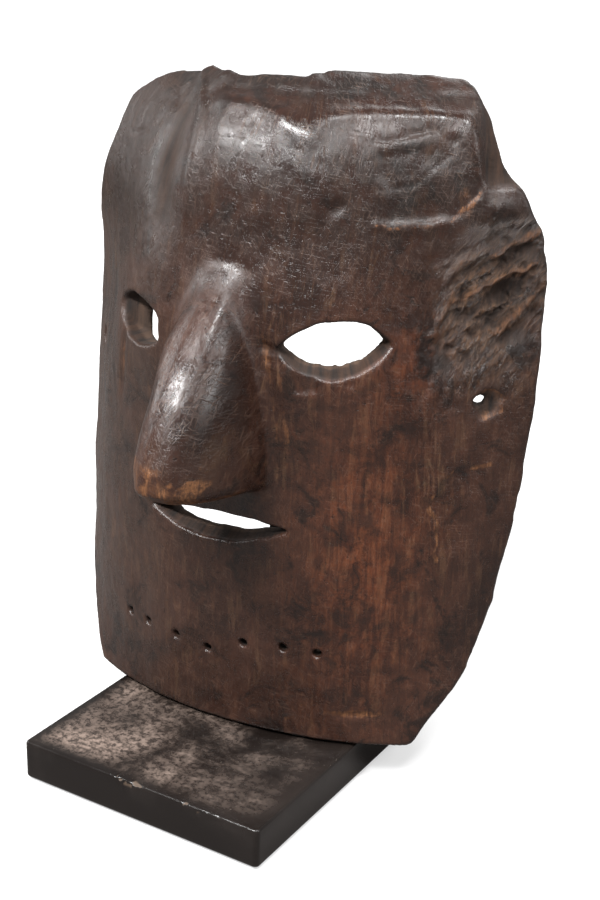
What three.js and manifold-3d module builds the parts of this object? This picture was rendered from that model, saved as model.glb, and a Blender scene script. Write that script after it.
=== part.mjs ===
// Carved wooden face mask standing on its lacquered display base.
// Millimetres, +Z up. The origin is the centre of the base's underside, the face looks along -Y,
// and +X is the wearer's left. The mask and its bracket are turned a few degrees on the base.
import * as THREE from 'three';
import { mergeVertices } from 'three/addons/utils/BufferGeometryUtils.js';
import Module from 'manifold-3d';

const wasm = await Module();
wasm.setup();

const GAP = 0.3;              // between pieces that touch
const DEG = Math.PI / 180;

// Base: a square lacquered board with felt under it.
const FELT_SIDE = 122;
const FELT_THICK = 0.8;
const PLINTH_SIDE = 128;
const PLINTH_BOTTOM = FELT_THICK + GAP;
const PLINTH_TOP = 20;
const PLINTH_CORNER = 2.5;    // radius of the four upright corners
const PLINTH_ARRIS = 1.6;     // rounding of the top and bottom edges
const PAD = { length: 16, depth: 6, thick: 0.8, along: 42 };   // felt under the chin
const CHIN_Z = PLINTH_TOP + GAP + PAD.thick + GAP;

// Mask shell. Every horizontal section is a flat front of half-width FLAT, then a bend of arc
// length BEND that turns through TURN degrees, then a straight cheek as far as the rim.
const MASK_YAW = 3.8;
const MASK_X = 2.3;
const HEIGHTS = [20, 60, 110, 160, 210, 260, 300];
const FRONT_Y = [1.9, 0.7, 0.6, -2.2, -4.6, 3.0, 9.0];
const FLAT = [6.4, 8.5, 10, 6, 12, 8, 14];
const BEND = [84, 99, 104, 94, 62, 48, 30];
const TURN = [30.4, 45.9, 52.4, 50.5, 48.9, 39, 36.5];
const RIM_HEIGHTS = [20, 38, 60, 90, 130, 170, 203, 225, 250, 272, 284, 300, 320];
const RIM_LEFT = [89, 103, 118, 129.5, 139, 145, 149.8, 147.5, 139, 126.5, 117, 113, 111];
const RIM_RIGHT = [86, 102, 117, 129, 139, 145, 149.8, 146, 128, 117, 112, 109, 107];
// Crown: above CROWN_START the shell rolls back over a quarter ellipse.
const CROWN_START = 258;
const CROWN_RISE = 60;
const CROWN_DEPTH = 44;         // at the middle line
const CROWN_DEPTH_RIM = 36;
const CROWN_HALF = 112;          // distance from the middle line to the rim up there
const TOP_ACROSS = [-1, -0.85, -0.6, -0.4, 0, 0.5, 0.9, 1];
const TOP_Z = [299, 306.5, 311, 314, 316, 317.5, 316.5, 307];
const WALL_MIDDLE = 10.5;
const WALL_RIM = 7.5;
const SHELL_COLUMNS = 44;
const FACE_ROWS = 17;
const CROWN_ROWS = 9;

// Nose: outlines stacked from the underside to the root, as [height, reach, half-width].
const NOSE = [
  [148, 46, 19], [152, 55, 22], [157, 60.5, 23], [163, 60, 23.3], [173, 56.5, 22.8],
  [186, 50.5, 21.5], [200, 45, 19.5], [215, 35.5, 16.5], [225, 21, 14], [234, 7, 12], [243, -4, 9],
];
const NOSE_UNDERSIDE_DROP = 5.5;   // the underside falls this much from the tip to the lip
const NOSE_EMBED = 5;              // how far the nose blank reaches into the wall

// Features, placed by distance around the face from the middle line and by height.
const EYES = [
  { along: 52, z: 210.5, halfWidth: 25.5, halfHeight: 11.8 },
  { along: -53.5, z: 208.5, halfWidth: 22.5, halfHeight: 10.4 },
];
const MOUTH = { left: -37, leftZ: 121.5, right: 30, rightZ: 126, topZ: 129.5, bottomZ: 115 };
const BEARD_HOLES = [[-60, 59], [-46, 59], [-27, 58.5], [-9, 57], [10, 64.5], [30, 66.5], [46, 66]];
const BEARD_HOLE_RADIUS = 2;
const TIE_HOLE = { along: 117.5, z: 182.8, radius: 4.2 };

// Bracket: a steel post in a flanged socket carries a tee with a padded bar inside the forehead.
const POST_Y = 48;
const POST_RADIUS = 3.2;
const BORE_RADIUS = POST_RADIUS + GAP;
const SOCKET = { bottom: PLINTH_TOP + GAP, flange: 14, flangeThick: 3, tube: 6.6, top: 46, floor: 24 };
const POST_FOOT = SOCKET.floor + GAP;
const BAR_Z = 252;
const BAR_RADIUS = 2.5;
const BAR_FLAT = 8;
const BAR_BEND_RADIUS = 55;
const BAR_BEND = 34 * DEG;
const SLEEVE_RADIUS = 4.5;
const SLEEVE_FROM = 14 * DEG;      // the sleeve covers the bend from here to the bar's end
const BAR_Y = 18.6;
const TEE = { width: 12, front: 14.5, back: 31.5, height: 15 };
const POST_BEHIND_BAR = 7.2;
const FLANGE_SCREW = { circle: 10, shank: 1.4, head: 2.7, headThick: 2, length: 12 };
const CLAMP_SCREW = { z: 38, shank: 1.6, head: 4, headLength: 5.5 };

const MATERIALS = {
  carvedWood: { color: 0x2b1a12, roughness: 0.42, metalness: 0 },
  lacquer: { color: 0x0b0a0a, roughness: 0.22, metalness: 0 },
  blackSteel: { color: 0x17171a, roughness: 0.5, metalness: 0.6 },
  rubber: { color: 0x141414, roughness: 0.85, metalness: 0 },
  felt: { color: 0x1d2620, roughness: 1, metalness: 0 },
  screwSteel: { color: 0x8d8d8a, roughness: 0.35, metalness: 1 },
};

// Monotone cubic through (xs, ys), level beyond the ends.
function interpolate(xs, ys, x) {
  const last = xs.length - 1;
  if (x <= xs[0]) return ys[0];
  if (x >= xs[last]) return ys[last];
  const step = (i) => xs[i + 1] - xs[i];
  const slope = (i) => (ys[i + 1] - ys[i]) / step(i);
  const tangent = (i) => {
    if (i === 0) return slope(0);
    if (i === last) return slope(last - 1);
    const a = slope(i - 1);
    const b = slope(i);
    return a * b <= 0 ? 0 : 2 * a * b / (a + b);
  };
  let i = 0;
  while (x > xs[i + 1]) i++;
  const t = (x - xs[i]) / step(i);
  const t2 = t * t;
  const t3 = t2 * t;
  return (2 * t3 - 3 * t2 + 1) * ys[i] + (t3 - 2 * t2 + t) * step(i) * tangent(i)
    + (3 * t2 - 2 * t3) * ys[i + 1] + (t3 - t2) * step(i) * tangent(i + 1);
}

// Outer surface at distance s around the face and distance w up it. Up to CROWN_START w is the
// height; above it w runs on around the crown.
function outerPoint(s, w) {
  const rimShare = Math.min(Math.abs(s) / CROWN_HALF, 1);
  const depth = CROWN_DEPTH + (CROWN_DEPTH_RIM - CROWN_DEPTH) * rimShare * rimShare;
  const angle = Math.min(Math.max((w - CROWN_START) / CROWN_RISE, 0), Math.PI / 2);
  const z = Math.min(w, CROWN_START) + CROWN_RISE * Math.sin(angle);
  const inset = depth * (1 - Math.cos(angle));
  const [front, flat, bend, turn] = [FRONT_Y, FLAT, BEND, TURN].map((c) => interpolate(HEIGHTS, c, z));
  const radius = bend / (turn * DEG);
  const a = Math.min(Math.max((Math.abs(s) - flat) / radius, 0), turn * DEG);
  const cheek = Math.max(Math.abs(s) - flat - bend, 0);
  const x = Math.min(Math.abs(s), flat) + radius * Math.sin(a) + cheek * Math.cos(a);
  const y = front + radius * (1 - Math.cos(a)) + cheek * Math.sin(a);
  return new THREE.Vector3(Math.sign(s) * (x - inset * Math.sin(a)), y + inset * Math.cos(a), z);
}

function outwardNormal(s, w) {
  const h = 0.5;
  const across = outerPoint(s + h, w).sub(outerPoint(s - h, w));
  const up = outerPoint(s, w + h).sub(outerPoint(s, w - h));
  return across.cross(up).normalize();
}

function rimLength(u, z) {
  return interpolate(RIM_HEIGHTS, u < 0 ? RIM_RIGHT : RIM_LEFT, z);
}

// Closed body from a grid of outer points and the matching grid of inner points.
function shellGeometry(outer, inner) {
  const rows = outer.length;
  const columns = outer[0].length;
  const positions = [];
  for (const grid of [outer, inner]) {
    for (const row of grid) for (const p of row) positions.push(p.x, p.y, p.z);
  }
  const index = [];
  const id = (layer, r, c) => (layer * rows + r) * columns + c;
  const quad = (a, b, c, d) => index.push(a, b, c, a, c, d);
  for (let r = 0; r < rows - 1; r++) {
    for (let c = 0; c < columns - 1; c++) {
      quad(id(0, r, c), id(0, r, c + 1), id(0, r + 1, c + 1), id(0, r + 1, c));
      quad(id(1, r, c), id(1, r + 1, c), id(1, r + 1, c + 1), id(1, r, c + 1));
    }
    quad(id(1, r, 0), id(0, r, 0), id(0, r + 1, 0), id(1, r + 1, 0));
    const e = columns - 1;
    quad(id(0, r, e), id(1, r, e), id(1, r + 1, e), id(0, r + 1, e));
  }
  for (let c = 0; c < columns - 1; c++) {
    quad(id(1, 0, c), id(1, 0, c + 1), id(0, 0, c + 1), id(0, 0, c));
    const e = rows - 1;
    quad(id(0, e, c), id(0, e, c + 1), id(1, e, c + 1), id(1, e, c));
  }
  return indexedGeometry(positions, index);
}

function indexedGeometry(positions, index) {
  const geometry = new THREE.BufferGeometry();
  geometry.setAttribute('position', new THREE.Float32BufferAttribute(positions, 3));
  geometry.setIndex(index);
  return geometry;
}

// Closed body from rings of equal point counts, each counter-clockwise seen from above.
function loftGeometry(rings) {
  const n = rings[0].length;
  const positions = rings.flat().flatMap((p) => [p.x, p.y, p.z]);
  const index = [];
  for (let r = 0; r < rings.length - 1; r++) {
    for (let i = 0; i < n; i++) {
      const j = (i + 1) % n;
      const [a, b, c, d] = [r * n + i, r * n + j, (r + 1) * n + j, (r + 1) * n + i];
      index.push(a, b, c, a, c, d);
    }
  }
  const top = (rings.length - 1) * n;
  for (let i = 1; i < n - 1; i++) index.push(0, i + 1, i, top, top + i, top + i + 1);
  return indexedGeometry(positions, index);
}

function toSolid(geometry) {
  const plain = geometry.clone();
  plain.deleteAttribute('normal');
  plain.deleteAttribute('uv');
  const merged = mergeVertices(plain, 1e-4);
  return new wasm.Manifold(new wasm.Mesh({
    numProp: 3,
    vertProperties: new Float32Array(merged.attributes.position.array),
    triVerts: new Uint32Array(merged.index.array),
  }));
}

function toGeometry(solid) {
  const mesh = solid.getMesh();
  return indexedGeometry(Array.from(mesh.vertProperties), Array.from(mesh.triVerts));
}

function cut(geometry, tools) {
  return toGeometry(tools.reduce((solid, tool) => solid.subtract(toSolid(tool)), toSolid(geometry)));
}

// Cylinder whose axis runs from point a to point b.
function rod(a, b, radius, sides = 12) {
  const geometry = new THREE.CylinderGeometry(radius, radius, a.distanceTo(b), sides);
  const turn = new THREE.Quaternion().setFromUnitVectors(
    new THREE.Vector3(0, 1, 0), b.clone().sub(a).normalize());
  geometry.applyQuaternion(turn);
  const middle = a.clone().add(b).multiplyScalar(0.5);
  return geometry.translate(middle.x, middle.y, middle.z);
}

// Prism of a flat outline, carried along the wall's normal at (along, z).
function wallCutter(shape, along, z, depth = 50) {
  const geometry = new THREE.ExtrudeGeometry(shape, { depth, bevelEnabled: false, curveSegments: 8 });
  geometry.translate(0, 0, -depth / 2);
  const outward = outwardNormal(along, z).setZ(0).normalize();
  const across = new THREE.Vector3(0, 0, 1).cross(outward);
  const basis = new THREE.Matrix4().makeBasis(across, new THREE.Vector3(0, 0, 1), outward);
  const place = outerPoint(along, z);
  return geometry.applyMatrix4(basis.setPosition(place.x, place.y, z));
}

function holeCutter(along, z, radius) {
  const outward = outwardNormal(along, z);
  const place = outerPoint(along, z);
  return rod(place.clone().addScaledVector(outward, 8), place.clone().addScaledVector(outward, -25),
    radius, 10);
}

function maskShell() {
  const outer = [];
  const inner = [];
  for (let r = 0; r <= FACE_ROWS + CROWN_ROWS; r++) {
    const outerRow = [];
    const innerRow = [];
    for (let c = 0; c <= SHELL_COLUMNS; c++) {
      const u = 2 * c / SHELL_COLUMNS - 1;
      const top = interpolate(TOP_ACROSS, TOP_Z, u);
      const crown = CROWN_RISE * Math.asin((top - CROWN_START) / CROWN_RISE);
      const w = r <= FACE_ROWS
        ? CHIN_Z + (CROWN_START - CHIN_Z) * r / FACE_ROWS
        : CROWN_START + crown * (r - FACE_ROWS) / CROWN_ROWS;
      const z = outerPoint(0, w).z;
      const s = u * rimLength(u, z);
      const point = outerPoint(s, w);
      const wall = WALL_MIDDLE + (WALL_RIM - WALL_MIDDLE) * u * u;
      const inside = point.clone().addScaledVector(outwardNormal(s, w), -wall);
      if (r === 0) inside.z = CHIN_Z;
      outerRow.push(point);
      innerRow.push(inside);
    }
    outer.push(outerRow);
    inner.push(innerRow);
  }
  return shellGeometry(outer, inner);
}

// Each nose outline is half an ellipse with a straight back set into the wall.
function noseBlank() {
  const half = [1, 0.985, 0.94, 0.86, 0.74, 0.58, 0.4, 0.2];
  const depthOf = (width) => Math.sqrt(1 - width * width);
  return loftGeometry(NOSE.map(([height, reach, halfWidth], level) => {
    const drop = NOSE_UNDERSIDE_DROP * (1 - level / (NOSE.length - 1));
    const side = half.map((width) => {
      const depth = depthOf(width);
      return [width * halfWidth, -reach * depth, height - drop * (1 - depth)];
    });
    const back = NOSE_EMBED;
    const left = side.map(([x, y, z]) => new THREE.Vector3(-x, y, z));
    const right = side.map(([x, y, z]) => new THREE.Vector3(x, y, z)).reverse();
    return [new THREE.Vector3(-halfWidth, back, height - drop), ...left,
      new THREE.Vector3(0, -reach, height), ...right,
      new THREE.Vector3(halfWidth, back, height - drop)];
  }));
}

function eyeShape({ halfWidth, halfHeight }) {
  const shape = new THREE.Shape();
  shape.moveTo(-halfWidth, -0.5);
  shape.bezierCurveTo(-halfWidth * 0.45, halfHeight * 1.25, halfWidth * 0.4, halfHeight * 1.4, halfWidth, 0.8);
  shape.bezierCurveTo(halfWidth * 0.4, -halfHeight * 1.3, -halfWidth * 0.5, -halfHeight * 1.4, -halfWidth, -0.5);
  return shape;
}

function mouthShape() {
  const { left, leftZ, right, rightZ, topZ, bottomZ } = MOUTH;
  const middle = (topZ + bottomZ) / 2;
  const corners = (leftZ + rightZ) / 2;
  const shape = new THREE.Shape();
  shape.moveTo(left, leftZ - middle);
  shape.quadraticCurveTo(0, 2 * topZ - corners - middle, right, rightZ - middle);
  shape.quadraticCurveTo(-2, 2 * bottomZ - corners - middle, left, leftZ - middle);
  return shape;
}

function maskGeometry() {
  const solid = toSolid(maskShell()).add(toSolid(noseBlank()));
  const cutters = [
    ...EYES.map((eye) => wallCutter(eyeShape(eye), eye.along, eye.z)),
    wallCutter(mouthShape(), 0, (MOUTH.topZ + MOUTH.bottomZ) / 2, 60),
    ...BEARD_HOLES.map(([along, z]) => holeCutter(along, z, BEARD_HOLE_RADIUS)),
    holeCutter(TIE_HOLE.along, TIE_HOLE.z, TIE_HOLE.radius),
    holeCutter(-TIE_HOLE.along, TIE_HOLE.z, TIE_HOLE.radius),
  ];
  return toGeometry(cutters.reduce((body, tool) => body.subtract(toSolid(tool)), solid));
}

function roundedSquare(side, radius) {
  const h = side / 2;
  const shape = new THREE.Shape();
  shape.moveTo(-h + radius, -h);
  shape.lineTo(h - radius, -h);
  shape.absarc(h - radius, -h + radius, radius, -Math.PI / 2, 0);
  shape.lineTo(h, h - radius);
  shape.absarc(h - radius, h - radius, radius, 0, Math.PI / 2);
  shape.lineTo(-h + radius, h);
  shape.absarc(-h + radius, h - radius, radius, Math.PI / 2, Math.PI);
  shape.lineTo(-h, -h + radius);
  shape.absarc(-h + radius, -h + radius, radius, Math.PI, Math.PI * 1.5);
  return shape;
}

function flangeScrewPlaces() {
  return [90, 210, 330].map((degrees) => new THREE.Vector2(
    FLANGE_SCREW.circle * Math.cos(degrees * DEG),
    POST_Y + FLANGE_SCREW.circle * Math.sin(degrees * DEG)));
}

function plinthGeometry() {
  const thick = PLINTH_TOP - PLINTH_BOTTOM;
  const board = new THREE.ExtrudeGeometry(roundedSquare(PLINTH_SIDE, PLINTH_CORNER), {
    depth: thick - 2 * PLINTH_ARRIS, bevelThickness: PLINTH_ARRIS, bevelSize: PLINTH_ARRIS,
    bevelOffset: -PLINTH_ARRIS, bevelSegments: 3, curveSegments: 4,
  });
  board.translate(0, 0, PLINTH_BOTTOM + PLINTH_ARRIS);
  const bottom = PLINTH_TOP - FLANGE_SCREW.length;
  return cut(board, flangeScrewPlaces().map((p) => rod(
    new THREE.Vector3(p.x, p.y, bottom), new THREE.Vector3(p.x, p.y, PLINTH_TOP + 5),
    FLANGE_SCREW.shank + GAP)));
}

// Solid of revolution about +Z from [radius, height] pairs that start and end on the axis.
function turned(profile, sides = 24) {
  const geometry = new THREE.LatheGeometry(profile.map(([r, z]) => new THREE.Vector2(r, z)), sides);
  return geometry.rotateX(Math.PI / 2);
}

function socketGeometry() {
  const { bottom, flange, flangeThick, tube, top, floor } = SOCKET;
  const body = turned([
    [0, bottom], [flange - 0.6, bottom], [flange, bottom + 0.6], [flange, bottom + flangeThick - 0.8],
    [flange - 0.8, bottom + flangeThick], [tube, bottom + flangeThick], [tube, top - 0.8],
    [tube - 0.8, top], [BORE_RADIUS, top], [BORE_RADIUS, floor], [0, floor],
  ]).translate(0, POST_Y, 0);
  const screwHoles = flangeScrewPlaces().map((p) => rod(
    new THREE.Vector3(p.x, p.y, bottom - 2), new THREE.Vector3(p.x, p.y, bottom + 6),
    FLANGE_SCREW.shank + GAP));
  const clampHole = rod(new THREE.Vector3(0, POST_Y + 1, CLAMP_SCREW.z),
    new THREE.Vector3(0, POST_Y + 12, CLAMP_SCREW.z), CLAMP_SCREW.shank + GAP);
  return cut(body, [...screwHoles, clampHole]);
}

function flangeScrewGeometry() {
  const { shank, head, headThick, length } = FLANGE_SCREW;
  const seat = SOCKET.bottom + SOCKET.flangeThick + GAP;
  const point = PLINTH_TOP - length + 1.5;
  return turned([
    [0, point], [shank, point + 2], [shank, seat], [head, seat], [head, seat + headThick * 0.4],
    [head * 0.7, seat + headThick], [0, seat + headThick],
  ], 12);
}

// The clamp screw points at the post from behind, along -Y.
function clampScrewGeometry() {
  const { shank, head, headLength } = CLAMP_SCREW;
  const start = SOCKET.tube + GAP;
  return turned([
    [0, POST_RADIUS + GAP], [shank, POST_RADIUS + GAP], [shank, start], [head, start],
    [head, start + headLength - 0.8], [head - 0.8, start + headLength], [0, start + headLength],
  ], 16).rotateX(-Math.PI / 2);
}

function circleShape(radius, hole = 0) {
  const shape = new THREE.Shape();
  shape.absarc(0, 0, radius, 0, 2 * Math.PI);
  if (hole) {
    const inner = new THREE.Path();
    inner.absarc(0, 0, hole, 0, 2 * Math.PI, true);
    shape.holes.push(inner);
  }
  return shape;
}

function bracketPoint(x, y, z) {
  const p = new THREE.Vector3(x, y, 0).applyAxisAngle(new THREE.Vector3(0, 0, 1), MASK_YAW * DEG);
  return new THREE.Vector3(p.x + MASK_X, p.y, z);
}

// The post rises plumb from its socket, leans forward behind the nose, and ends plumb in the tee.
function postGeometry() {
  const head = bracketPoint(0, BAR_Y + POST_BEHIND_BAR, 0);
  const at = (share, z) => new THREE.Vector3(head.x * share, POST_Y + (head.y - POST_Y) * share, z);
  const path = new THREE.CurvePath();
  path.add(new THREE.LineCurve3(at(0, POST_FOOT), at(0, 100)));
  path.add(new THREE.QuadraticBezierCurve3(at(0, 100), at(0, 116), at(0.13, 132)));
  path.add(new THREE.LineCurve3(at(0.13, 132), at(0.87, 212)));
  path.add(new THREE.QuadraticBezierCurve3(at(0.87, 212), at(1, 228), at(1, 238)));
  path.add(new THREE.LineCurve3(at(1, 238), at(1, BAR_Z + TEE.height / 2 + 1.5)));
  return new THREE.ExtrudeGeometry(circleShape(POST_RADIUS), {
    steps: 26, bevelEnabled: false, extrudePath: path, curveSegments: 7,
  });
}

// Bar centre line in the bracket's frame: straight in the middle, bent back at both ends.
class BarCurve extends THREE.Curve {
  constructor(from, to) {
    super();
    this.from = from;
    this.to = to;
  }

  getPoint(t, target = new THREE.Vector3()) {
    const s = this.from + (this.to - this.from) * t;
    const a = Math.max(Math.abs(s) - BAR_FLAT, 0) / BAR_BEND_RADIUS;
    const x = Math.min(Math.abs(s), BAR_FLAT) + BAR_BEND_RADIUS * Math.sin(a);
    return target.set(Math.sign(s) * x, BAR_Y + BAR_BEND_RADIUS * (1 - Math.cos(a)), BAR_Z);
  }
}

function barGeometry(from, to, shape, steps, segments) {
  return new THREE.ExtrudeGeometry(shape, {
    steps, bevelEnabled: false, extrudePath: new BarCurve(from, to), curveSegments: segments,
  });
}

function teeGeometry() {
  const { width, front, back, height } = TEE;
  const shape = new THREE.Shape();
  const h = width / 2;
  const chamfer = 1.2;
  shape.moveTo(-h + chamfer, front);
  shape.lineTo(h - chamfer, front);
  shape.lineTo(h, front + chamfer);
  shape.lineTo(h, back - chamfer);
  shape.lineTo(h - chamfer, back);
  shape.lineTo(-h + chamfer, back);
  shape.lineTo(-h, back - chamfer);
  shape.lineTo(-h, front + chamfer);
  shape.closePath();
  const block = new THREE.ExtrudeGeometry(shape, { depth: height, bevelEnabled: false });
  block.translate(0, 0, BAR_Z - height / 2);
  const postY = BAR_Y + POST_BEHIND_BAR;
  return cut(block, [
    rod(new THREE.Vector3(0, postY, BAR_Z - 20), new THREE.Vector3(0, postY, BAR_Z + 20), BORE_RADIUS, 16),
    rod(new THREE.Vector3(-20, BAR_Y, BAR_Z), new THREE.Vector3(20, BAR_Y, BAR_Z), BAR_RADIUS + GAP, 16),
  ]);
}

// Felt pad under the chin wall, turned to follow it.
function chinPadGeometry(side) {
  const along = side * PAD.along;
  const outward = outwardNormal(along, CHIN_Z + 2).setZ(0).normalize();
  const place = outerPoint(along, CHIN_Z).addScaledVector(outward, -WALL_MIDDLE / 2);
  const pad = new THREE.BoxGeometry(PAD.length, PAD.depth, PAD.thick);
  pad.rotateZ(Math.atan2(outward.x, -outward.y));
  return pad.translate(place.x, place.y, PLINTH_TOP + GAP + PAD.thick / 2);
}

function mesh(name, geometry, look) {
  const item = new THREE.Mesh(geometry, new THREE.MeshStandardMaterial(MATERIALS[look]));
  item.name = name;
  return item;
}

const group = new THREE.Group();

const felt = new THREE.ExtrudeGeometry(roundedSquare(FELT_SIDE, 2), {
  depth: FELT_THICK, bevelEnabled: false, curveSegments: 3,
});
group.add(mesh('base_felt', felt, 'felt'));
group.add(mesh('plinth', plinthGeometry(), 'lacquer'));
group.add(mesh('post_socket', socketGeometry(), 'blackSteel'));
flangeScrewPlaces().forEach((p, i) => {
  const screw = mesh(`flange_screw_${i + 1}`, flangeScrewGeometry(), 'screwSteel');
  screw.position.set(p.x, p.y, 0);
  group.add(screw);
});
const clamp = mesh('clamp_screw', clampScrewGeometry(), 'screwSteel');
clamp.position.set(0, POST_Y, CLAMP_SCREW.z);
group.add(clamp);
group.add(mesh('post', postGeometry(), 'blackSteel'));

// The mask and everything shaped to it share one turned frame.
const turnedFrame = new THREE.Group();
turnedFrame.position.x = MASK_X;
turnedFrame.rotation.z = MASK_YAW * DEG;
group.add(turnedFrame);
const barHalf = BAR_FLAT + BAR_BEND_RADIUS * BAR_BEND;
const sleeveFrom = BAR_FLAT + BAR_BEND_RADIUS * SLEEVE_FROM;
turnedFrame.add(mesh('crossbar',
  barGeometry(-barHalf, barHalf, circleShape(BAR_RADIUS), 18, 6), 'blackSteel'));
turnedFrame.add(mesh('tee_block', teeGeometry(), 'blackSteel'));
const sleeve = circleShape(SLEEVE_RADIUS, BAR_RADIUS + GAP);
turnedFrame.add(mesh('sleeve_left', barGeometry(sleeveFrom, barHalf, sleeve, 5, 7), 'rubber'));
turnedFrame.add(mesh('sleeve_right', barGeometry(-barHalf, -sleeveFrom, sleeve, 5, 7), 'rubber'));
turnedFrame.add(mesh('chin_pad_left', chinPadGeometry(1), 'felt'));
turnedFrame.add(mesh('chin_pad_right', chinPadGeometry(-1), 'felt'));
turnedFrame.add(mesh('mask', maskGeometry(), 'carvedWood'));

export default group;
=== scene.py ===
"""Looks for the carved wooden mask on its lacquered plinth.

The studio is in metres. The wood and the stand are shaped in millimetres and scaled as their meshes are made.
The wood is shaped in the mask's own frame, which is turned a little on the plinth. Left and right on the mask
are the wearer's, so its left side is at +X."""

import math

import bpy
import numpy as np
from mathutils import Matrix, Vector


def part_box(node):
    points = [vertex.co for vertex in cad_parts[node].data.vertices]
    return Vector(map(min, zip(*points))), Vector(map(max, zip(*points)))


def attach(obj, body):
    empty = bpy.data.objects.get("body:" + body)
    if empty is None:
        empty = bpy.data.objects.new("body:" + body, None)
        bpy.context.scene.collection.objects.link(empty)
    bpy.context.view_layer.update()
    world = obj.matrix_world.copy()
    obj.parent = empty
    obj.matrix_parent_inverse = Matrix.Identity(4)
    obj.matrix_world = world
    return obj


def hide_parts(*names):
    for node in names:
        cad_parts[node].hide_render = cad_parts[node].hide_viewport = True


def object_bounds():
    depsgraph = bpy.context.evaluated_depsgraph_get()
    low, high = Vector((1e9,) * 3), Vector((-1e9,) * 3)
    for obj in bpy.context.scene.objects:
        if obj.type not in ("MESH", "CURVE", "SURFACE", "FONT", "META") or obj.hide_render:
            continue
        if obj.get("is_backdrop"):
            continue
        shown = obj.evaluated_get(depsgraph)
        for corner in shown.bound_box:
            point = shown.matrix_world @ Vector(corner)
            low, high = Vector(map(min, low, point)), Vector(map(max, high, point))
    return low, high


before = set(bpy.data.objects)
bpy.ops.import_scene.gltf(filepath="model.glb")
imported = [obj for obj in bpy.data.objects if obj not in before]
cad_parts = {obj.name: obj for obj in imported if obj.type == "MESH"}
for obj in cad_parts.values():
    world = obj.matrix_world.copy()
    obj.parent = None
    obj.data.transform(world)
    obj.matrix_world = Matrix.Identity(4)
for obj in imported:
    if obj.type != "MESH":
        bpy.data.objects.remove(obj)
cad_box = [list(corner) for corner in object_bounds()]

MM = 0.001
DEG = math.pi / 180

# ---------------------------------------------------------------- camera, floor and light
CAMERA_AT = Vector((0.3496, -0.5107, 0.3895))
CAMERA_YAW = 31.14 * DEG
CAMERA_PITCH = 20.55 * DEG
CAMERA_ROLL = 1.55 * DEG
CAMERA_LENS, CAMERA_SENSOR = 60.0, 36.0
WORLD_LIGHT = 0.36
FLOOR_HALF = 6.0
# The floor's own glow rises from its middle to its far parts: from and to distance, from and to strength.
FLOOR_GLOW = (0.3, 1.2, 0.52, 1.0)
FLOOR_BOUNCE = (0.16, 0.15, 0.145)
# Lamps stand around a point at this height, and face a point a little higher.
LIGHT_PIVOT_Z = 0.17
LIGHT_TARGET = Vector((0, 0, 0.2))
# Name, then azimuth, elevation and distance, then width and height, then power. Azimuth 0 is straight in
# front of the object, and positive on its +X side.
STUDIO_LIGHTS = [
    ("key_light", (-13, 50, 1.3), (0.80, 0.11), 38),
    ("nose_light", (34, 46, 1.5), (0.20, 0.26), 5),
    ("crown_light", (74, 60, 1.3), (0.28, 0.18), 11),
    ("left_light", (-80, 22, 2.0), (0.8, 1.0), 14),
    ("right_light", (100, 25, 2.2), (0.6, 1.0), 12),
    ("back_light", (182, 38, 1.8), (0.9, 0.7), 9),
]


def add_object(name, data):
    item = bpy.data.objects.new(name, data)
    bpy.context.scene.collection.objects.link(item)
    return item


def make_camera():
    forward = Vector((-math.sin(CAMERA_YAW) * math.cos(CAMERA_PITCH),
                      math.cos(CAMERA_YAW) * math.cos(CAMERA_PITCH), -math.sin(CAMERA_PITCH)))
    level = Vector((math.cos(CAMERA_YAW), math.sin(CAMERA_YAW), 0))
    plumb = level.cross(forward)
    right = level * math.cos(CAMERA_ROLL) + plumb * math.sin(CAMERA_ROLL)
    up = plumb * math.cos(CAMERA_ROLL) - level * math.sin(CAMERA_ROLL)
    data = bpy.data.cameras.new("camera")
    data.lens = CAMERA_LENS
    data.sensor_width = CAMERA_SENSOR
    data.clip_start = 0.01
    camera = add_object("camera", data)
    camera.matrix_world = Matrix((*zip(right, up, -forward, CAMERA_AT), (0, 0, 0, 1)))
    bpy.context.scene.camera = camera


def area_light(name, bearing, size, power):
    azimuth, elevation, distance = bearing[0] * DEG, bearing[1] * DEG, bearing[2]
    place = Vector((distance * math.sin(azimuth) * math.cos(elevation),
                    -distance * math.cos(azimuth) * math.cos(elevation),
                    LIGHT_PIVOT_Z + distance * math.sin(elevation)))
    data = bpy.data.lights.new(name, "AREA")
    data.shape = "RECTANGLE"
    data.size, data.size_y = size
    data.energy = power
    light = add_object(name, data)
    light.location = place
    light.rotation_euler = (LIGHT_TARGET - place).to_track_quat("-Z", "Y").to_euler()


def set_inputs(node, **values):
    """Sets a node's sockets by name, with _ for a space."""
    for name, value in values.items():
        node.inputs[name.replace("_", " ")].default_value = value


def split_by_ray(tree, seen, other, output):
    """Shows one shader to the camera, and the other to every other ray."""
    path = tree.nodes.new("ShaderNodeLightPath")
    mix = tree.nodes.new("ShaderNodeMixShader")
    tree.links.new(path.outputs["Is Camera Ray"], mix.inputs["Fac"])
    tree.links.new(other.outputs[0], mix.inputs[1])
    tree.links.new(seen.outputs[0], mix.inputs[2])
    tree.links.new(mix.outputs[0], tree.nodes[output].inputs["Surface"])


def make_world():
    """Pure white as a backdrop, and dimmer as a light, so dark wood keeps its depth."""
    world = bpy.data.worlds.new("studio")
    world.use_nodes = True
    tree = world.node_tree
    light, backdrop = tree.nodes["Background"], tree.nodes.new("ShaderNodeBackground")
    set_inputs(light, Color=(1, 1, 1, 1), Strength=WORLD_LIGHT)
    set_inputs(backdrop, Color=(1, 1, 1, 1), Strength=1.0)
    split_by_ray(tree, backdrop, light, "World Output")
    bpy.context.scene.world = world


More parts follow.
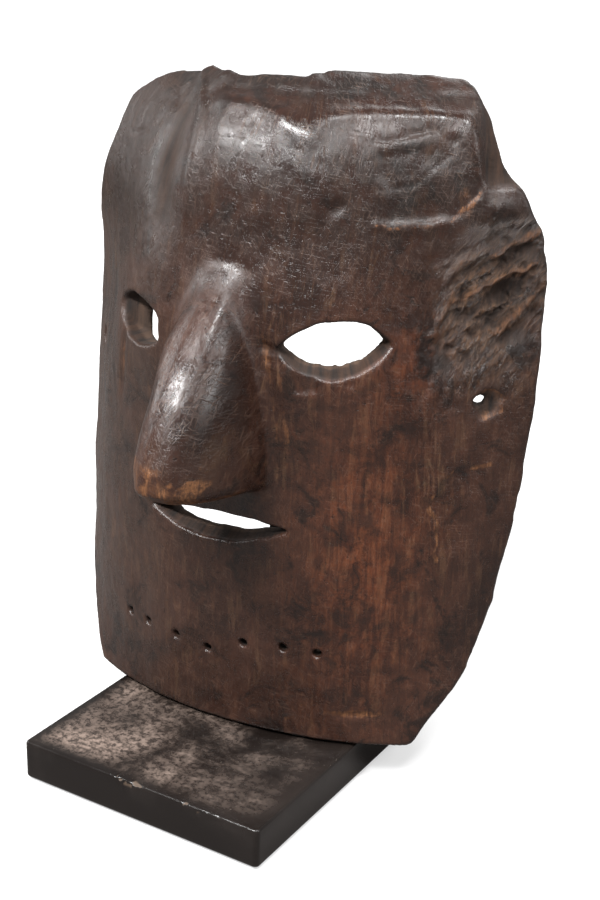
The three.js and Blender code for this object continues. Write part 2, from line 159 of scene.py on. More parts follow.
def make_floor():
    """The camera sees a floor that glows up to white; the object is lit and mirrored by a dimmer one."""
    mesh = bpy.data.meshes.new("floor")
    a, b = -FLOOR_HALF, FLOOR_HALF
    mesh.from_pydata([(a, a, 0), (b, a, 0), (b, b, 0), (a, b, 0)], [], [(0, 1, 2, 3)])
    floor = add_object("floor", mesh)
    material = bpy.data.materials.new("floor_white")
    material.use_nodes = True
    tree = material.node_tree
    white, dim = tree.nodes["Principled BSDF"], tree.nodes.new("ShaderNodeBsdfDiffuse")
    set_inputs(white, Base_Color=(0.45, 0.45, 0.45, 1), Roughness=0.9, Emission_Color=(1, 1, 1, 1))
    set_inputs(dim, Color=(*FLOOR_BOUNCE, 1))
    place = tree.nodes.new("ShaderNodeTexCoord")
    away = tree.nodes.new("ShaderNodeVectorMath")
    away.operation = "LENGTH"
    glow = tree.nodes.new("ShaderNodeMapRange")
    set_inputs(glow, **dict(zip(("From_Min", "From_Max", "To_Min", "To_Max"), FLOOR_GLOW)))
    tree.links.new(place.outputs["Object"], away.inputs[0])
    tree.links.new(away.outputs["Value"], glow.inputs["Value"])
    tree.links.new(glow.outputs["Result"], white.inputs["Emission Strength"])
    split_by_ray(tree, white, dim, "Material Output")
    mesh.materials.append(material)
    floor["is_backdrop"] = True


def make_studio():
    make_world()
    for lamp in STUDIO_LIGHTS:
        area_light(*lamp)
    make_floor()
    bpy.context.scene.view_settings.view_transform = "Standard"


make_camera()
make_studio()


# ---------------------------------------------------------------- numbers shared by the shapes
def monotone(xs, ys, x):
    """Monotone cubic through (xs, ys) for an array x, level beyond the ends."""
    xs, ys = np.asarray(xs, float), np.asarray(ys, float)
    step = np.diff(xs)
    slope = np.diff(ys) / step
    tangent = np.empty(len(xs))
    tangent[0], tangent[-1] = slope[0], slope[-1]
    a, b = slope[:-1], slope[1:]
    same = a * b > 0
    tangent[1:-1] = np.where(same, 2 * a * b / np.where(same, a + b, 1), 0)
    x = np.clip(x, xs[0], xs[-1])
    i = np.clip(np.searchsorted(xs, x) - 1, 0, len(step) - 1)
    h = step[i]
    t = (x - xs[i]) / h
    return ((2 * t**3 - 3 * t**2 + 1) * ys[i] + (t**3 - 2 * t**2 + t) * h * tangent[i]
            + (3 * t**2 - 2 * t**3) * ys[i + 1] + (t**3 - t**2) * h * tangent[i + 1])


def smoothstep(low, high, x):
    t = np.clip((x - low) / (high - low), 0, 1)
    return t * t * (3 - 2 * t)


def smooth_max(a, b, radius):
    blend = np.clip(radius - np.abs(a - b), 0, None) / radius
    return np.maximum(a, b) + blend * blend * radius / 4


def smooth_min(a, b, radius):
    return -smooth_max(-a, -b, radius)


def noise(x, y, seed):
    """Smooth noise from -1 to 1 with one lump per unit."""
    table = np.random.RandomState(seed).uniform(-1, 1, (64, 64))
    xi, yi = np.floor(x).astype(int), np.floor(y).astype(int)
    tx, ty = x - xi, y - yi
    tx, ty = tx * tx * (3 - 2 * tx), ty * ty * (3 - 2 * ty)
    corner = lambda i, j: table[(xi + i) % 64, (yi + j) % 64]
    low = corner(0, 0) * (1 - tx) + corner(1, 0) * tx
    high = corner(0, 1) * (1 - tx) + corner(1, 1) * tx
    return low * (1 - ty) + high * ty


def rough_noise(x, y, seed, octaves=4):
    total, size = 0, 1.0
    for k in range(octaves):
        total = total + size * noise(x * 2**k + 7.3 * k, y * 2**k + 3.1 * k, seed + k)
        size *= 0.5
    return total


def bump_at(s, z, s0, z0, width, height, turn=0.0):
    """Soft oval patch, 1 in its middle, with its axes turned by turn degrees."""
    c, n = math.cos(turn * DEG), math.sin(turn * DEG)
    u = ((s - s0) * c + (z - z0) * n) / width
    v = (-(s - s0) * n + (z - z0) * c) / height
    return np.exp(-(u * u + v * v))


def run_to(s, w, start, end):
    """Squared distance from a straight run, and the share of the way along it."""
    (s0, w0), (s1, w1) = start, end
    ds, dw = s1 - s0, w1 - w0
    t = np.clip(((s - s0) * ds + (w - w0) * dw) / (ds * ds + dw * dw), 0, 1)
    return (s - s0 - t * ds) ** 2 + (w - w0 - t * dw) ** 2, t


def stroke(s, w, start, end, width):
    """1 along a straight cut, falling off over width and fading towards its ends."""
    away2, t = run_to(s, w, start, end)
    return np.exp(-away2 / (width * width)) * (0.35 + 0.65 * np.sin(np.pi * np.clip(t, 0.03, 0.97)))


def along_line(s, w, points, width):
    """1 on a line of several straight runs, falling off over width."""
    near = np.min([run_to(s, w, start, end)[0] for start, end in zip(points, points[1:])], axis=0)
    return np.exp(-near / (width * width))


def bumps(s, w, table):
    """Sum of soft oval patches, each given as amount, middle, half sizes and an optional turn."""
    return sum(amount * bump_at(s, w, *patch) for amount, *patch in table)


def lines(s, w, table):
    """Sum of soft lines, each given as amount, width and points."""
    return sum(amount * along_line(s, w, points, width) for amount, width, points in table)


def strokes(s, w, table):
    """Sum of soft cuts, each given as amount, width, start and end."""
    return sum(amount * stroke(s, w, start, end, width) for amount, width, start, end in table)


# ---------------------------------------------------------------- surface from a field
def surface_net(field, origin, step):
    """Vertices and quads where a sampled field changes sign; the body is where it is negative."""
    shape = np.array(field.shape)
    cells = shape - 1
    total = int(np.prod(cells))
    sums = np.zeros((3, total))
    counts = np.zeros(total)
    quads = []
    for axis in range(3):
        near = [slice(None)] * 3
        far = [slice(None)] * 3
        near[axis], far[axis] = slice(None, -1), slice(1, None)
        a, b = field[tuple(near)], field[tuple(far)]
        index = np.argwhere((a < 0) != (b < 0))
        va, vb = a[tuple(index.T)], b[tuple(index.T)]
        place = index.astype(float)
        place[:, axis] += va / (va - vb)
        u, v = (axis + 1) % 3, (axis + 2) % 3
        around = []
        for du, dv in ((0, 0), (-1, 0), (-1, -1), (0, -1)):
            cell = index.copy()
            cell[:, u] += du
            cell[:, v] += dv
            around.append(cell)
        inside = np.all([np.all((c >= 0) & (c < cells), axis=1) for c in around], axis=0)
        flat = [np.ravel_multi_index(tuple(c[inside].T), cells) for c in around]
        for cell in flat:
            for k in range(3):
                sums[k] += np.bincount(cell, weights=place[inside, k], minlength=total)
            counts += np.bincount(cell, minlength=total)
        ring = np.stack(flat, axis=1)
        outward = (va < 0)[inside]
        ring[~outward] = ring[~outward][:, ::-1]
        quads.append(ring)
    used = np.flatnonzero(counts)
    number = np.full(total, -1)
    number[used] = np.arange(len(used))
    vertices = (sums[:, used] / counts[used]).T * step + origin
    return vertices, number[np.concatenate(quads)]


def settle(vertices, quads, field, rounds):
    """Evens the mesh out and brings every vertex back onto the field's zero."""
    edges = np.concatenate([quads[:, [0, 1]], quads[:, [1, 2]], quads[:, [2, 3]], quads[:, [3, 0]]])
    count = np.bincount(edges.ravel(), minlength=len(vertices))
    # How far off the slope is taken, and the farthest a vertex moves in a round.
    probe, farthest = 0.25, 1.2
    for smoothing in rounds:
        if smoothing:
            mean = np.empty_like(vertices)
            for k in range(3):
                mean[:, k] = (np.bincount(edges[:, 0], vertices[edges[:, 1], k], len(vertices))
                              + np.bincount(edges[:, 1], vertices[edges[:, 0], k], len(vertices)))
            vertices = vertices + smoothing * (mean / count[:, None] - vertices)
        value = field(*vertices.T)
        slope = np.stack([field(*(vertices + probe * along).T) - value for along in np.eye(3)], 1) / probe
        steep = np.clip((slope * slope).sum(1), 0.25, None)
        move = np.clip(value / steep, -farthest, farthest)
        vertices = vertices - slope * move[:, None]
    return vertices


def mesh_object(name, vertices, quads):
    """Smooth-shaded piece made straight from arrays."""
    mesh = bpy.data.meshes.new(name)
    mesh.vertices.add(len(vertices))
    mesh.vertices.foreach_set("co", np.asarray(vertices, np.float32).ravel())
    quads = np.asarray(quads, np.int32)
    mesh.loops.add(quads.size)
    mesh.loops.foreach_set("vertex_index", quads.ravel())
    mesh.polygons.add(len(quads))
    mesh.polygons.foreach_set("loop_start", np.arange(len(quads), dtype=np.int32) * 4)
    mesh.polygons.foreach_set("use_smooth", np.ones(len(quads), bool))
    mesh.update(calc_edges=True)
    mesh.validate()
    return add_object(name, mesh)


def add_attribute(piece, name, values):
    layer = piece.data.attributes.new(name, "FLOAT", "POINT")
    layer.data.foreach_set("value", np.asarray(values, np.float32))


# ---------------------------------------------------------------- the mask's form, in millimetres
MASK_YAW, MASK_X, CHIN_Z = 3.8 * DEG, 2.3, 21.4
GRID_LOW, GRID_HIGH = np.array([-123.0, -68.0, 18.0]), np.array([121.0, 98.0, 322.0])
GRID_STEP, GRID_STEP_QUICK = 1.25, 2.4
# The plain face at several heights: how far back its flat middle stands, the half width of the flat, the
# length of the bend beside it, and how many degrees the bend turns.
HEIGHTS = [20, 60, 110, 160, 210, 260, 300]
FRONT_Y = [1.9, 0.7, 0.6, -2.2, -4.6, 3.0, 9.0]
FLAT = [6.4, 8.5, 10, 6, 12, 8, 14]
BEND = [84, 99, 104, 94, 62, 48, 30]
TURN = [30.4, 45.9, 52.4, 50.5, 48.9, 39, 36.5]
# The rim, as a distance around the face on each side.
RIM_HEIGHTS = [20, 38, 60, 90, 130, 170, 203, 225, 250, 272, 284, 300, 320]
RIM_LEFT = [89, 103, 118, 129.5, 139, 145, 149.8, 147.5, 139, 126.5, 117, 113, 111]
RIM_RIGHT = [86, 102, 117, 129, 139, 145, 149.8, 146, 128, 117, 112, 109, 107]
CROWN_START, CROWN_RISE, CROWN_DEPTH, CROWN_DEPTH_RIM, CROWN_HALF = 258, 60, 44, 36, 112
# The crown's edge across the face, -1 and 1 being the rims.
TOP_ACROSS = [-1, -0.85, -0.72, -0.4, 0, 0.5, 0.9, 1]
TOP_Z = [299, 308.5, 312.5, 314.5, 316, 317.5, 316.5, 307]
WALL_MIDDLE, WALL_RIM = 10.5, 7.5
WALL_SWELLS = [(2.5, -140, 207, 30, 35), (2.2, -70, 204, 20, 30)]
# The nose's ridge and half width from its tip up to its root.
NOSE_Z = [148, 152, 157, 163, 173, 186, 199, 211, 222, 232, 242, 252]
NOSE_REACH = [46, 55, 60.5, 60, 56.8, 50.5, 41, 30.5, 19.5, 8.5, -2.5, -13]
NOSE_HALF = [19, 22, 23, 23.3, 22.8, 21.5, 19, 16, 12.5, 9, 6, 5]
NOSE_BACK_Y, NOSE_POWER = 6.0, 2.3
BEARD_HOLES = [(-60, 59), (-46, 59), (-27, 58.5), (-9, 57), (10, 64.5), (30, 66.5), (46, 66)]
BEARD_HOLE_RADIUS = 1.9
TIE_HOLE, TIE_HOLE_RADIUS, PLAIN_TIE_HOLE_RADIUS = (117.8, 182.0), 2.5, 3.6


def wrap(x, y, z):
    """Distance around the face s, and depth below its outer surface, of any point."""
    front, flat, bend = (monotone(HEIGHTS, c, z) for c in (FRONT_Y, FLAT, BEND))
    turn = monotone(HEIGHTS, TURN, z) * DEG
    radius = bend / turn
    ax = np.abs(x)
    dx, dy = ax - flat, front + radius - y
    angle = np.arctan2(np.maximum(dx, 0), dy)
    on_flat = dx <= 0
    past = angle > turn
    ex = ax - flat - radius * np.sin(turn)
    ey = y - front - radius * (1 - np.cos(turn))
    s = np.where(on_flat, ax, np.where(past, flat + bend + ex * np.cos(turn) + ey * np.sin(turn),
                                       flat + radius * angle))
    depth = np.where(on_flat, y - front, np.where(past, ey * np.cos(turn) - ex * np.sin(turn),
                                                  radius - np.hypot(dx, dy)))
    crown = CROWN_DEPTH + (CROWN_DEPTH_RIM - CROWN_DEPTH) * np.minimum(s / CROWN_HALF, 1) ** 2
    e1 = np.maximum(crown - depth, 0) / crown
    e2 = np.maximum(z - CROWN_START, 0) / CROWN_RISE
    size = np.maximum(np.hypot(e1, e2), 1e-3)
    slope = np.maximum(np.hypot(e1 / crown, e2 / CROWN_RISE) / size, 1e-9)
    over = z > CROWN_START
    lean = np.where(over, np.arctan2(e2, np.maximum(e1, 1e-6)), 0)
    depth = np.where(over, (1 - size) / slope, depth)
    return np.where(x < 0, -s, s), depth, lean


def up_the_face(z, lean):
    """Height along the surface: z up to the crown, and then the way over it."""
    return np.where(z > CROWN_START, CROWN_START + CROWN_RISE * lean, z)


def in_mask_frame(points):
    """Where points given in the turned frame of the mask stand on the plinth."""
    points = np.asarray(points, float)
    c, n = math.cos(MASK_YAW), math.sin(MASK_YAW)
    return np.stack([MASK_X + c * points[..., 0] - n * points[..., 1],
                     n * points[..., 0] + c * points[..., 1], points[..., 2]], axis=-1)


# Lines on the face as [distance around it, height up its surface]; above CROWN_START the height runs
# on over the crown.
FOREHEAD_RIDGE = ([239, 256, 281, 299, 324], [-25, -22.7, -24, -28, -55])
CREST_RIGHT = [(-18, 311), (0, 310), (15, 303), (31, 296)]
CREST_LEFT = [(36, 302), (55, 307), (83, 306), (97, 302), (104.5, 293), (104, 281)]
BROKEN_LIP = [(62, 261.5), (70, 260), (80, 259.4), (90, 260.3), (97, 263.5), (105, 271), (109, 277)]
TORN_RIDGES = [[(104, 226), (113, 232), (124, 236), (137, 242)], [(124, 211), (132, 217), (141, 228)],
               [(98, 236), (103, 244), (112, 250)], [(116, 246), (127, 252), (136, 258)],
               [(94, 214), (99, 222), (101, 231)]]
TORN_VALLEYS = [[(107, 221), (118, 227), (136, 234)], [(122, 205), (134, 210), (142, 219)],
                [(106, 240), (118, 243), (132, 249)]]
SUNKEN_RIM = [(62, 293), (74, 296), (86, 297), (95, 293)]
SUNKEN_EDGE = [(64, 290), (78, 292), (84, 289)]
# The edge of a flake that has split off the left cheek, and a shard inside it.
FLAKE = [(123, 153.5), (116, 153), (106.5, 154), (100.5, 149), (98, 144), (94, 139), (96, 132), (98, 121),
         (97.5, 112)]
SHARD = [(112, 140), (107, 133), (104, 127)]
# Raised (+) and sunk (-) lines, straight cuts, and dents.
FACE_LINES = [(1.3, 5.5, CREST_RIGHT), (1.1, 4.5, CREST_LEFT), (-1.3, 2.2, [(20, 209), (28, 207)]),
              (-0.35, 1.2, [(63, 274), (78, 276), (92, 288)]),
              (-0.8, 1.4, [(112, 276), (113, 290), (110, 304)])]
FACE_CUTS = [(2.0, 2.6, (-66, 201), (-69, 170)), (0.9, 1.6, (52, 35), (78, 37)),
             (0.8, 1.3, (30, 28), (35, 32)), (0.7, 1.6, (-92, 283), (-76, 287))]
FACE_BUMPS = [(1.8, 117, 266, 7, 4.5), (-1.1, 46, 267, 4.2, 2.4, 38)]
# Where the wood is bare, reddened and dusty.
WORN_LINES = [(0.42, 2.4, [(20, 214), (24, 196), (26, 176), (27, 150)]),
              (0.38, 1.6, [(28, 197), (31, 170), (31, 152)])]
WORN_CUTS = [(0.8, 2.2, (50, 36), (80, 37)), (0.6, 1.6, (30, 28), (35, 32)),
             (0.55, 2.6, (-66, 201), (-69, 170))]
WORN_PATCHES = [(0.5, 101, 269, 6, 8), (0.35, 82, 66, 4, 24), (0.35, 40, 47, 4, 14),
                (0.3, 46, 267, 4.2, 2.4, 38), (0.3, 38, 195, 8, 6)]
RED_PATCHES = [(1.0, 66, 112, 30, 72), (0.45, 50, 308, 55, 12), (0.8, 86, 203, 16, 16),
               (0.12, 20, 250, 40, 30)]
DUSTY_PATCHES = [(0.9, 97, 195, 10, 15), (0.8, 34, 199, 14, 6), (0.5, 95, 140, 8, 30), (0.9, 26, 180, 6, 32),
                 (0.4, 50, 243, 12, 14), (0.5, 45, 286, 14, 4)]
# Corners of the openings: distances around the face, then heights.
LEFT_EYE = (26.4, 76.4, 208.3, 210.8)
RIGHT_EYE = (-76.0, -28.0, 209.6, 207.8)
RIGHT_EYE_BLUNT = -34.1
MOUTH = (-43.0, 31.5, 121.7, 124.5)


def sunken_patch(s, w):
    """1 inside the shallow sunken patch on the left of the forehead."""
    s = s + 2.4 * noise(s / 9, w / 7, 9) + 0.9 * noise(s / 3, w / 3, 10)
    w = w + 1.6 * noise(s / 8, w / 9, 8) + 0.6 * noise(s / 3, w / 3, 7)
    floor = 260.6 + 0.014 * np.maximum(s - 84, 0) ** 2
    roof = 293 - 0.035 * np.maximum(s - 92, 0) ** 2 - 0.012 * np.maximum(84 - s, 0) ** 2
    left = 66 - 5 * smoothstep(270, 282, w)
    return (smoothstep(left - 3, left + 6, s) * (1 - smoothstep(103, 108, s))
            * smoothstep(floor - 0.8, floor + 1.6, w) * (1 - smoothstep(roof - 3, roof + 3, w)))


def gnawed_patch(s, w):
    """1 where the wood at the left temple is torn and gnawed, with a ragged border."""
    ragged_s = s + 7 * noise(s / 10, w / 9, 61) + 3 * noise(s / 4, w / 4, 62)
    ragged_w = w + 5 * noise(s / 9, w / 10, 63)
    return np.clip(1.25 * bump_at(ragged_s, ragged_w, 122, 230, 25, 31), 0, 1) \
        * smoothstep(84, 108, ragged_s) * smoothstep(0, 8, 264 - w + 0.1 * (s - 100))


def flaked_patch(s, w):
    """1 where a flake has split off the left cheek, sharp at its upper and inner borders."""
    border_s, border_w = zip(*FLAKE[:1:-1])
    border = np.interp(w, border_w, border_s) + 1.5 * noise(s * 0 + 3, w / 4, 68)
    top = 153.8 + 1.0 * noise(s / 4, w * 0, 69)
    return (smoothstep(-0.6, 0.6, s - border) * (1 - smoothstep(7, 20, s - border))
            * smoothstep(112, 122, w) * (1 - smoothstep(top - 0.6, top + 0.6, w)))


def tie_funnel(s, w):
    """The worn funnel on the outer side of the tie hole: 1 in its middle, 0 at its border."""
    ragged = 0.18 * noise(s / 3, w / 3, 70)
    return np.clip(1 + ragged - np.hypot((s - 122.5) / 8.5, (w - 180.5) / 7.0), 0, 1)


def jagged(s, w):
    """Distance around the face, shaken so that a line along the flake looks broken."""
    return s + 1.6 * noise(s / 4, w / 4, 68)


def forehead_relief(s, w):
    """The forehead's ridge, the bevel and flat band of the crown, and the sunken patch."""
    ridge = monotone(*FOREHEAD_RIDGE, w)
    hollow = 2.4 - 1.6 * smoothstep(300, 320, w)
    relief = smoothstep(232, 268, w) * (1.6 * np.exp(-((s - ridge) / 4.2) ** 2)
                                        - hollow * np.exp(-((s - ridge + 19) / 12) ** 2))
    relief += smoothstep(312, 326, w) * (1.5 * smoothstep(-60, -52, s) * (1 - smoothstep(-32, -20, s))
                                         - 1.3 * np.exp(-((s + 12) / 8) ** 2))
    bevel = 3.0 * smoothstep(258, 298, w) * (1 - smoothstep(300, 318, w))
    crease = 0.5 * np.exp(-((w - 320.5) / 3.2) ** 2)
    band = 0.5 * noise(s / 8, w / 8, 15) * smoothstep(318, 324, w)
    relief += smoothstep(-28, -10, s) * (1 - smoothstep(100, 108, s)) * (bevel - crease + band)
    relief -= (1.3 + 0.5 * noise(s / 7, w / 7, 17)) * sunken_patch(s, w)
    shaken = w + 1.2 * noise(s / 5, w / 5, 18)
    broken = 0.6 + 0.6 * noise(s / 4, w / 4, 22)
    relief += 0.9 * broken * along_line(s, shaken + 1.6, BROKEN_LIP, 1.8)
    ragged = w + 1.4 * noise(s / 6, w / 5, 66)
    relief += 0.4 * along_line(s, ragged, SUNKEN_EDGE, 1.4) - 0.7 * along_line(s, ragged, SUNKEN_RIM, 1.9)
    # The upper left corner turns back below the crown.
    return relief - 5.0 * smoothstep(104, 113, s) * smoothstep(272, 284, w)


def temple_relief(s, w):
    """Gnawed and split wood at the left temple, with pits and upright fibres below it."""
    along, across = 0.85 * s + 0.5 * w, -0.5 * s + 0.85 * w
    along = along + 6 * noise(s / 11, w / 11, 64)
    across = across + 4 * noise(s / 9, w / 9, 65)
    torn = 1 - np.abs(noise(along / 13, across / 6.0, 11))
    relief = -gnawed_patch(s, w) * (0.6 + 1.2 * smoothstep(0.45, 0.9, torn)
                                    + 1.5 * np.abs(rough_noise(along / 5, across / 3, 12, 4)))
    shaken = w + 2.2 * noise(s / 4, w / 4, 16)
    relief += 1.1 * sum(along_line(s, shaken, line, 1.8) for line in TORN_RIDGES)
    shaken = w + 2.0 * noise(s / 5, w / 5, 67)
    relief -= 1.1 * sum(along_line(s, shaken, line, 2.4) for line in TORN_VALLEYS)
    pits = bump_at(s, w, 110, 209, 17, 8)
    relief -= pits * 1.9 * smoothstep(0.0, 0.45, noise(s / 3.4, w / 3.0, 13))
    fibres = bump_at(s, w, 99, 195, 8, 14)
    return relief + fibres * (0.9 * noise((s - 0.35 * (w - 195)) / 2.0, w / 17, 14) - 0.6)


def eyelid_relief(s, w):
    """Chips under the left eye: a square one, and crumbled wood on either side of it."""
    square = smoothstep(33, 34.5, s) * (1 - smoothstep(43, 45, s)) * smoothstep(189, 191, w) \
        * (1 - smoothstep(198, 200, w))
    outer = smoothstep(0.1, 0.5, noise(s / 4.5, w / 4, 19)) * bump_at(s, w, 62, 193, 10, 4)
    inner = bump_at(s, w, 25, 203, 6, 5) * (1 + noise(s / 2.5, w / 2.5, 20))
    return -1.2 * square - 0.9 * outer - 0.8 * inner


def face_relief(s, w):
    """Height of the carving and of its wear above the plain face."""
    # Hand work: broad tool facets, then small unevenness.
    relief = 0.45 * noise(s / 17, w / 23, 3) + 0.20 * noise(s / 7, w / 11, 4)
    relief += 0.10 * rough_noise(s / 3.1, w / 4.3, 5, 3)
    relief += forehead_relief(s, w) + temple_relief(s, w) + eyelid_relief(s, w)
    relief += lines(s, w, FACE_LINES) + bumps(s, w, FACE_BUMPS) - strokes(s, w, FACE_CUTS)
    relief += 0.3 * along_line(jagged(s, w), w, FLAKE, 1.2) - 0.5 * along_line(jagged(s, w), w, SHARD, 1.0)
    return relief - 1.0 * flaked_patch(s, w) - 4.2 * tie_funnel(s, w)


def slit(s, z, corners, rise, fall):
    """Field of an opening between two corners, bulging up by rise and down by fall."""
    s0, s1, z0, z1 = corners
    u = s - (s0 + s1) / 2
    v = z - (z0 + z1) / 2 - (z1 - z0) / (s1 - s0) * u + 0.45 * noise(s / 5.5, s * 0 + z0, 37)

    def arc(height, across):
        radius = ((s1 - s0) ** 2 / 4 + height * height) / (2 * height)
        return np.hypot(u, across - (height - radius)) - radius
    return smooth_max(arc(rise, v), arc(fall, -v), 1.5)


def nose_field(x, y, z, detail):
    """Negative inside the nose, whose sections are half ellipses that shrink to a rounded end."""
    reach0 = np.maximum(monotone(NOSE_Z, NOSE_REACH, z), 1)
    forward = np.clip(-y / reach0, 0, 1)
    share = np.clip((z - NOSE_Z[0]) / (NOSE_Z[-1] - NOSE_Z[0]), 0, 1)
    zn = z + 5.5 * (1 - share) * (1 - forward)
    half = monotone(NOSE_Z, NOSE_HALF, zn) * np.where(x < 0, 1 + 0.4 * smoothstep(188, 214, z), 1)
    length = np.maximum(monotone(NOSE_Z, NOSE_REACH, zn) + NOSE_BACK_Y, 2)
    ex, ey = np.abs(x / half), np.abs(np.minimum(y - NOSE_BACK_Y, 0) / length)
    round_up = (ex**NOSE_POWER + ey**NOSE_POWER + 1e-6) ** (1 / NOSE_POWER)
    steep = np.hypot(ex / half, ey / length) / np.maximum(np.hypot(ex, ey), 1e-3)
    nose = smooth_max((round_up - 1) / np.maximum(steep, 1 / 60), NOSE_Z[0] - zn, 5)
    # The root fades into the forehead and ends below the crown, and a groove runs down its left flank.
    nose = nose + 8 * smoothstep(235, 250, z) + 100 * smoothstep(246, 262, z)
    nose = nose + 0.4 * np.exp(-((x - 10) / 2.2) ** 2) * smoothstep(190, 202, z)
    if detail:
        nose += 0.30 * noise(x / 6 + 40, z / 13, 41) + 0.16 * noise(x / 3 + 9, z / 6, 42)
    return nose


def cut_openings(wood, s, z, depth):
    """Eyes, mouth and holes. The lower eyelids slope down outwards, and the corners close inwards."""
    flare = np.exp(-np.clip(depth, 0, None) / 1.6)
    inward = np.clip(depth, 0, 12)
    lid = smoothstep(0, 7.5, depth)
    ragged = 0.9 * noise(s / 2.6, depth / 2.2, 23) + 0.6 * noise(s / 6, depth / 3, 24)
    eye = slit(s, z, LEFT_EYE, 11.5, 13.4 - 3.9 * lid + ragged * lid)
    wood = smooth_max(wood, 0.5 * flare - eye, 0.8)
    eye = slit(s, z, RIGHT_EYE, 10.2, 11.4 + 0.6 * ragged * lid)
    eye = smooth_max(eye, np.maximum(s - RIGHT_EYE_BLUNT, RIGHT_EYE[0] + 1.62 * inward - s), 2.0)
    wood = smooth_max(wood, 0.4 * flare - eye, 0.8)
    s0, s1, z0, z1 = MOUTH
    corners = (s0 + 0.5 * inward, s1 - 0.15 * inward, z0, z1)
    mouth = slit(s, z, corners, 3.8, 9.6 - 3.2 * smoothstep(0.5, 9, depth))
    wood = smooth_max(wood, 0.4 * flare - mouth, 0.9)
    for hole_s, hole_z in BEARD_HOLES:
        wood = smooth_max(wood, BEARD_HOLE_RADIUS + 0.3 * flare - np.hypot(s - hole_s, z - hole_z), 0.5)
    tie = np.hypot((s - TIE_HOLE[0] - 0.45 * np.clip(depth, 0, 9)) / 1.15, z - TIE_HOLE[1])
    wood = smooth_max(wood, TIE_HOLE_RADIUS + 0.8 * flare - tie, 0.6)
    mirrored = np.hypot(s + TIE_HOLE[0], z - TIE_HOLE[1])
    return smooth_max(wood, PLAIN_TIE_HOLE_RADIUS + 1.0 * flare - mirrored, 1.5)


def mask_field(x, y, z, detail=True):
    """Negative inside the wood."""
    s, depth, lean = wrap(x, y, z)
    side = np.where(s < 0, monotone(RIM_HEIGHTS, RIM_RIGHT, z), monotone(RIM_HEIGHTS, RIM_LEFT, z))
    u = s / side
    wall = WALL_MIDDLE + (WALL_RIM - WALL_MIDDLE) * np.minimum(u * u, 1) + bumps(s, z, WALL_SWELLS)
    top = np.arcsin((monotone(TOP_ACROSS, TOP_Z, u) - CROWN_START) / CROWN_RISE)
    face = back = edge = chips = 0.0
    if detail:
        face = face_relief(s, up_the_face(z, lean))
        back = 0.55 * noise(s / 9, z / 30, 31) + 0.25 * noise(s / 4, z / 14, 32)
        edge = 0.9 * noise(z / 11, s * 0 + np.sign(s) * 3.5, 33) \
            + 0.5 * noise(z / 4, s * 0 + np.sign(s) * 7.5, 34)
        chips = 1.1 * noise(s / 13, s * 0, 35) + 0.5 * noise(s / 5, s * 0, 36)
    wood = smooth_min(-(depth + face), nose_field(x, y, z, detail), 5 + 4 * smoothstep(200, 232, z))
    wood = smooth_max(wood, depth - wall + back, 2.0)
    wood = smooth_max(wood, np.abs(s) - side + edge * smoothstep(40, 70, np.abs(s)), 3.2)
    crown_edge = (lean - top) * 50 - chips
    wood = smooth_max(wood, np.where(z > CROWN_START, crown_edge, -50.0), 3.0)
    return cut_openings(smooth_max(wood, CHIN_Z - z, 1.2), s, z, depth)


def make_mask():
    step = GRID_STEP
    axes = [np.arange(low, high, step) for low, high in zip(GRID_LOW, GRID_HIGH)]
    gx, gy = np.meshgrid(axes[0], axes[1], indexing="ij")
    field = np.stack([mask_field(gx, gy, np.full_like(gx, z), detail=False) for z in axes[2]], axis=2)
    vertices, quads = surface_net(field, GRID_LOW, step)
    vertices = settle(vertices, quads, mask_field, (0.5, 0.5, 0.3, 0))
    s, depth, lean = wrap(*vertices.T)
    piece = mesh_object("carved_mask", in_mask_frame(vertices) * MM, quads)
    paint_masks(piece, s, up_the_face(vertices[:, 2], lean), depth, vertices)
    finish_piece(piece, "mask", "carved_wood", "mask")


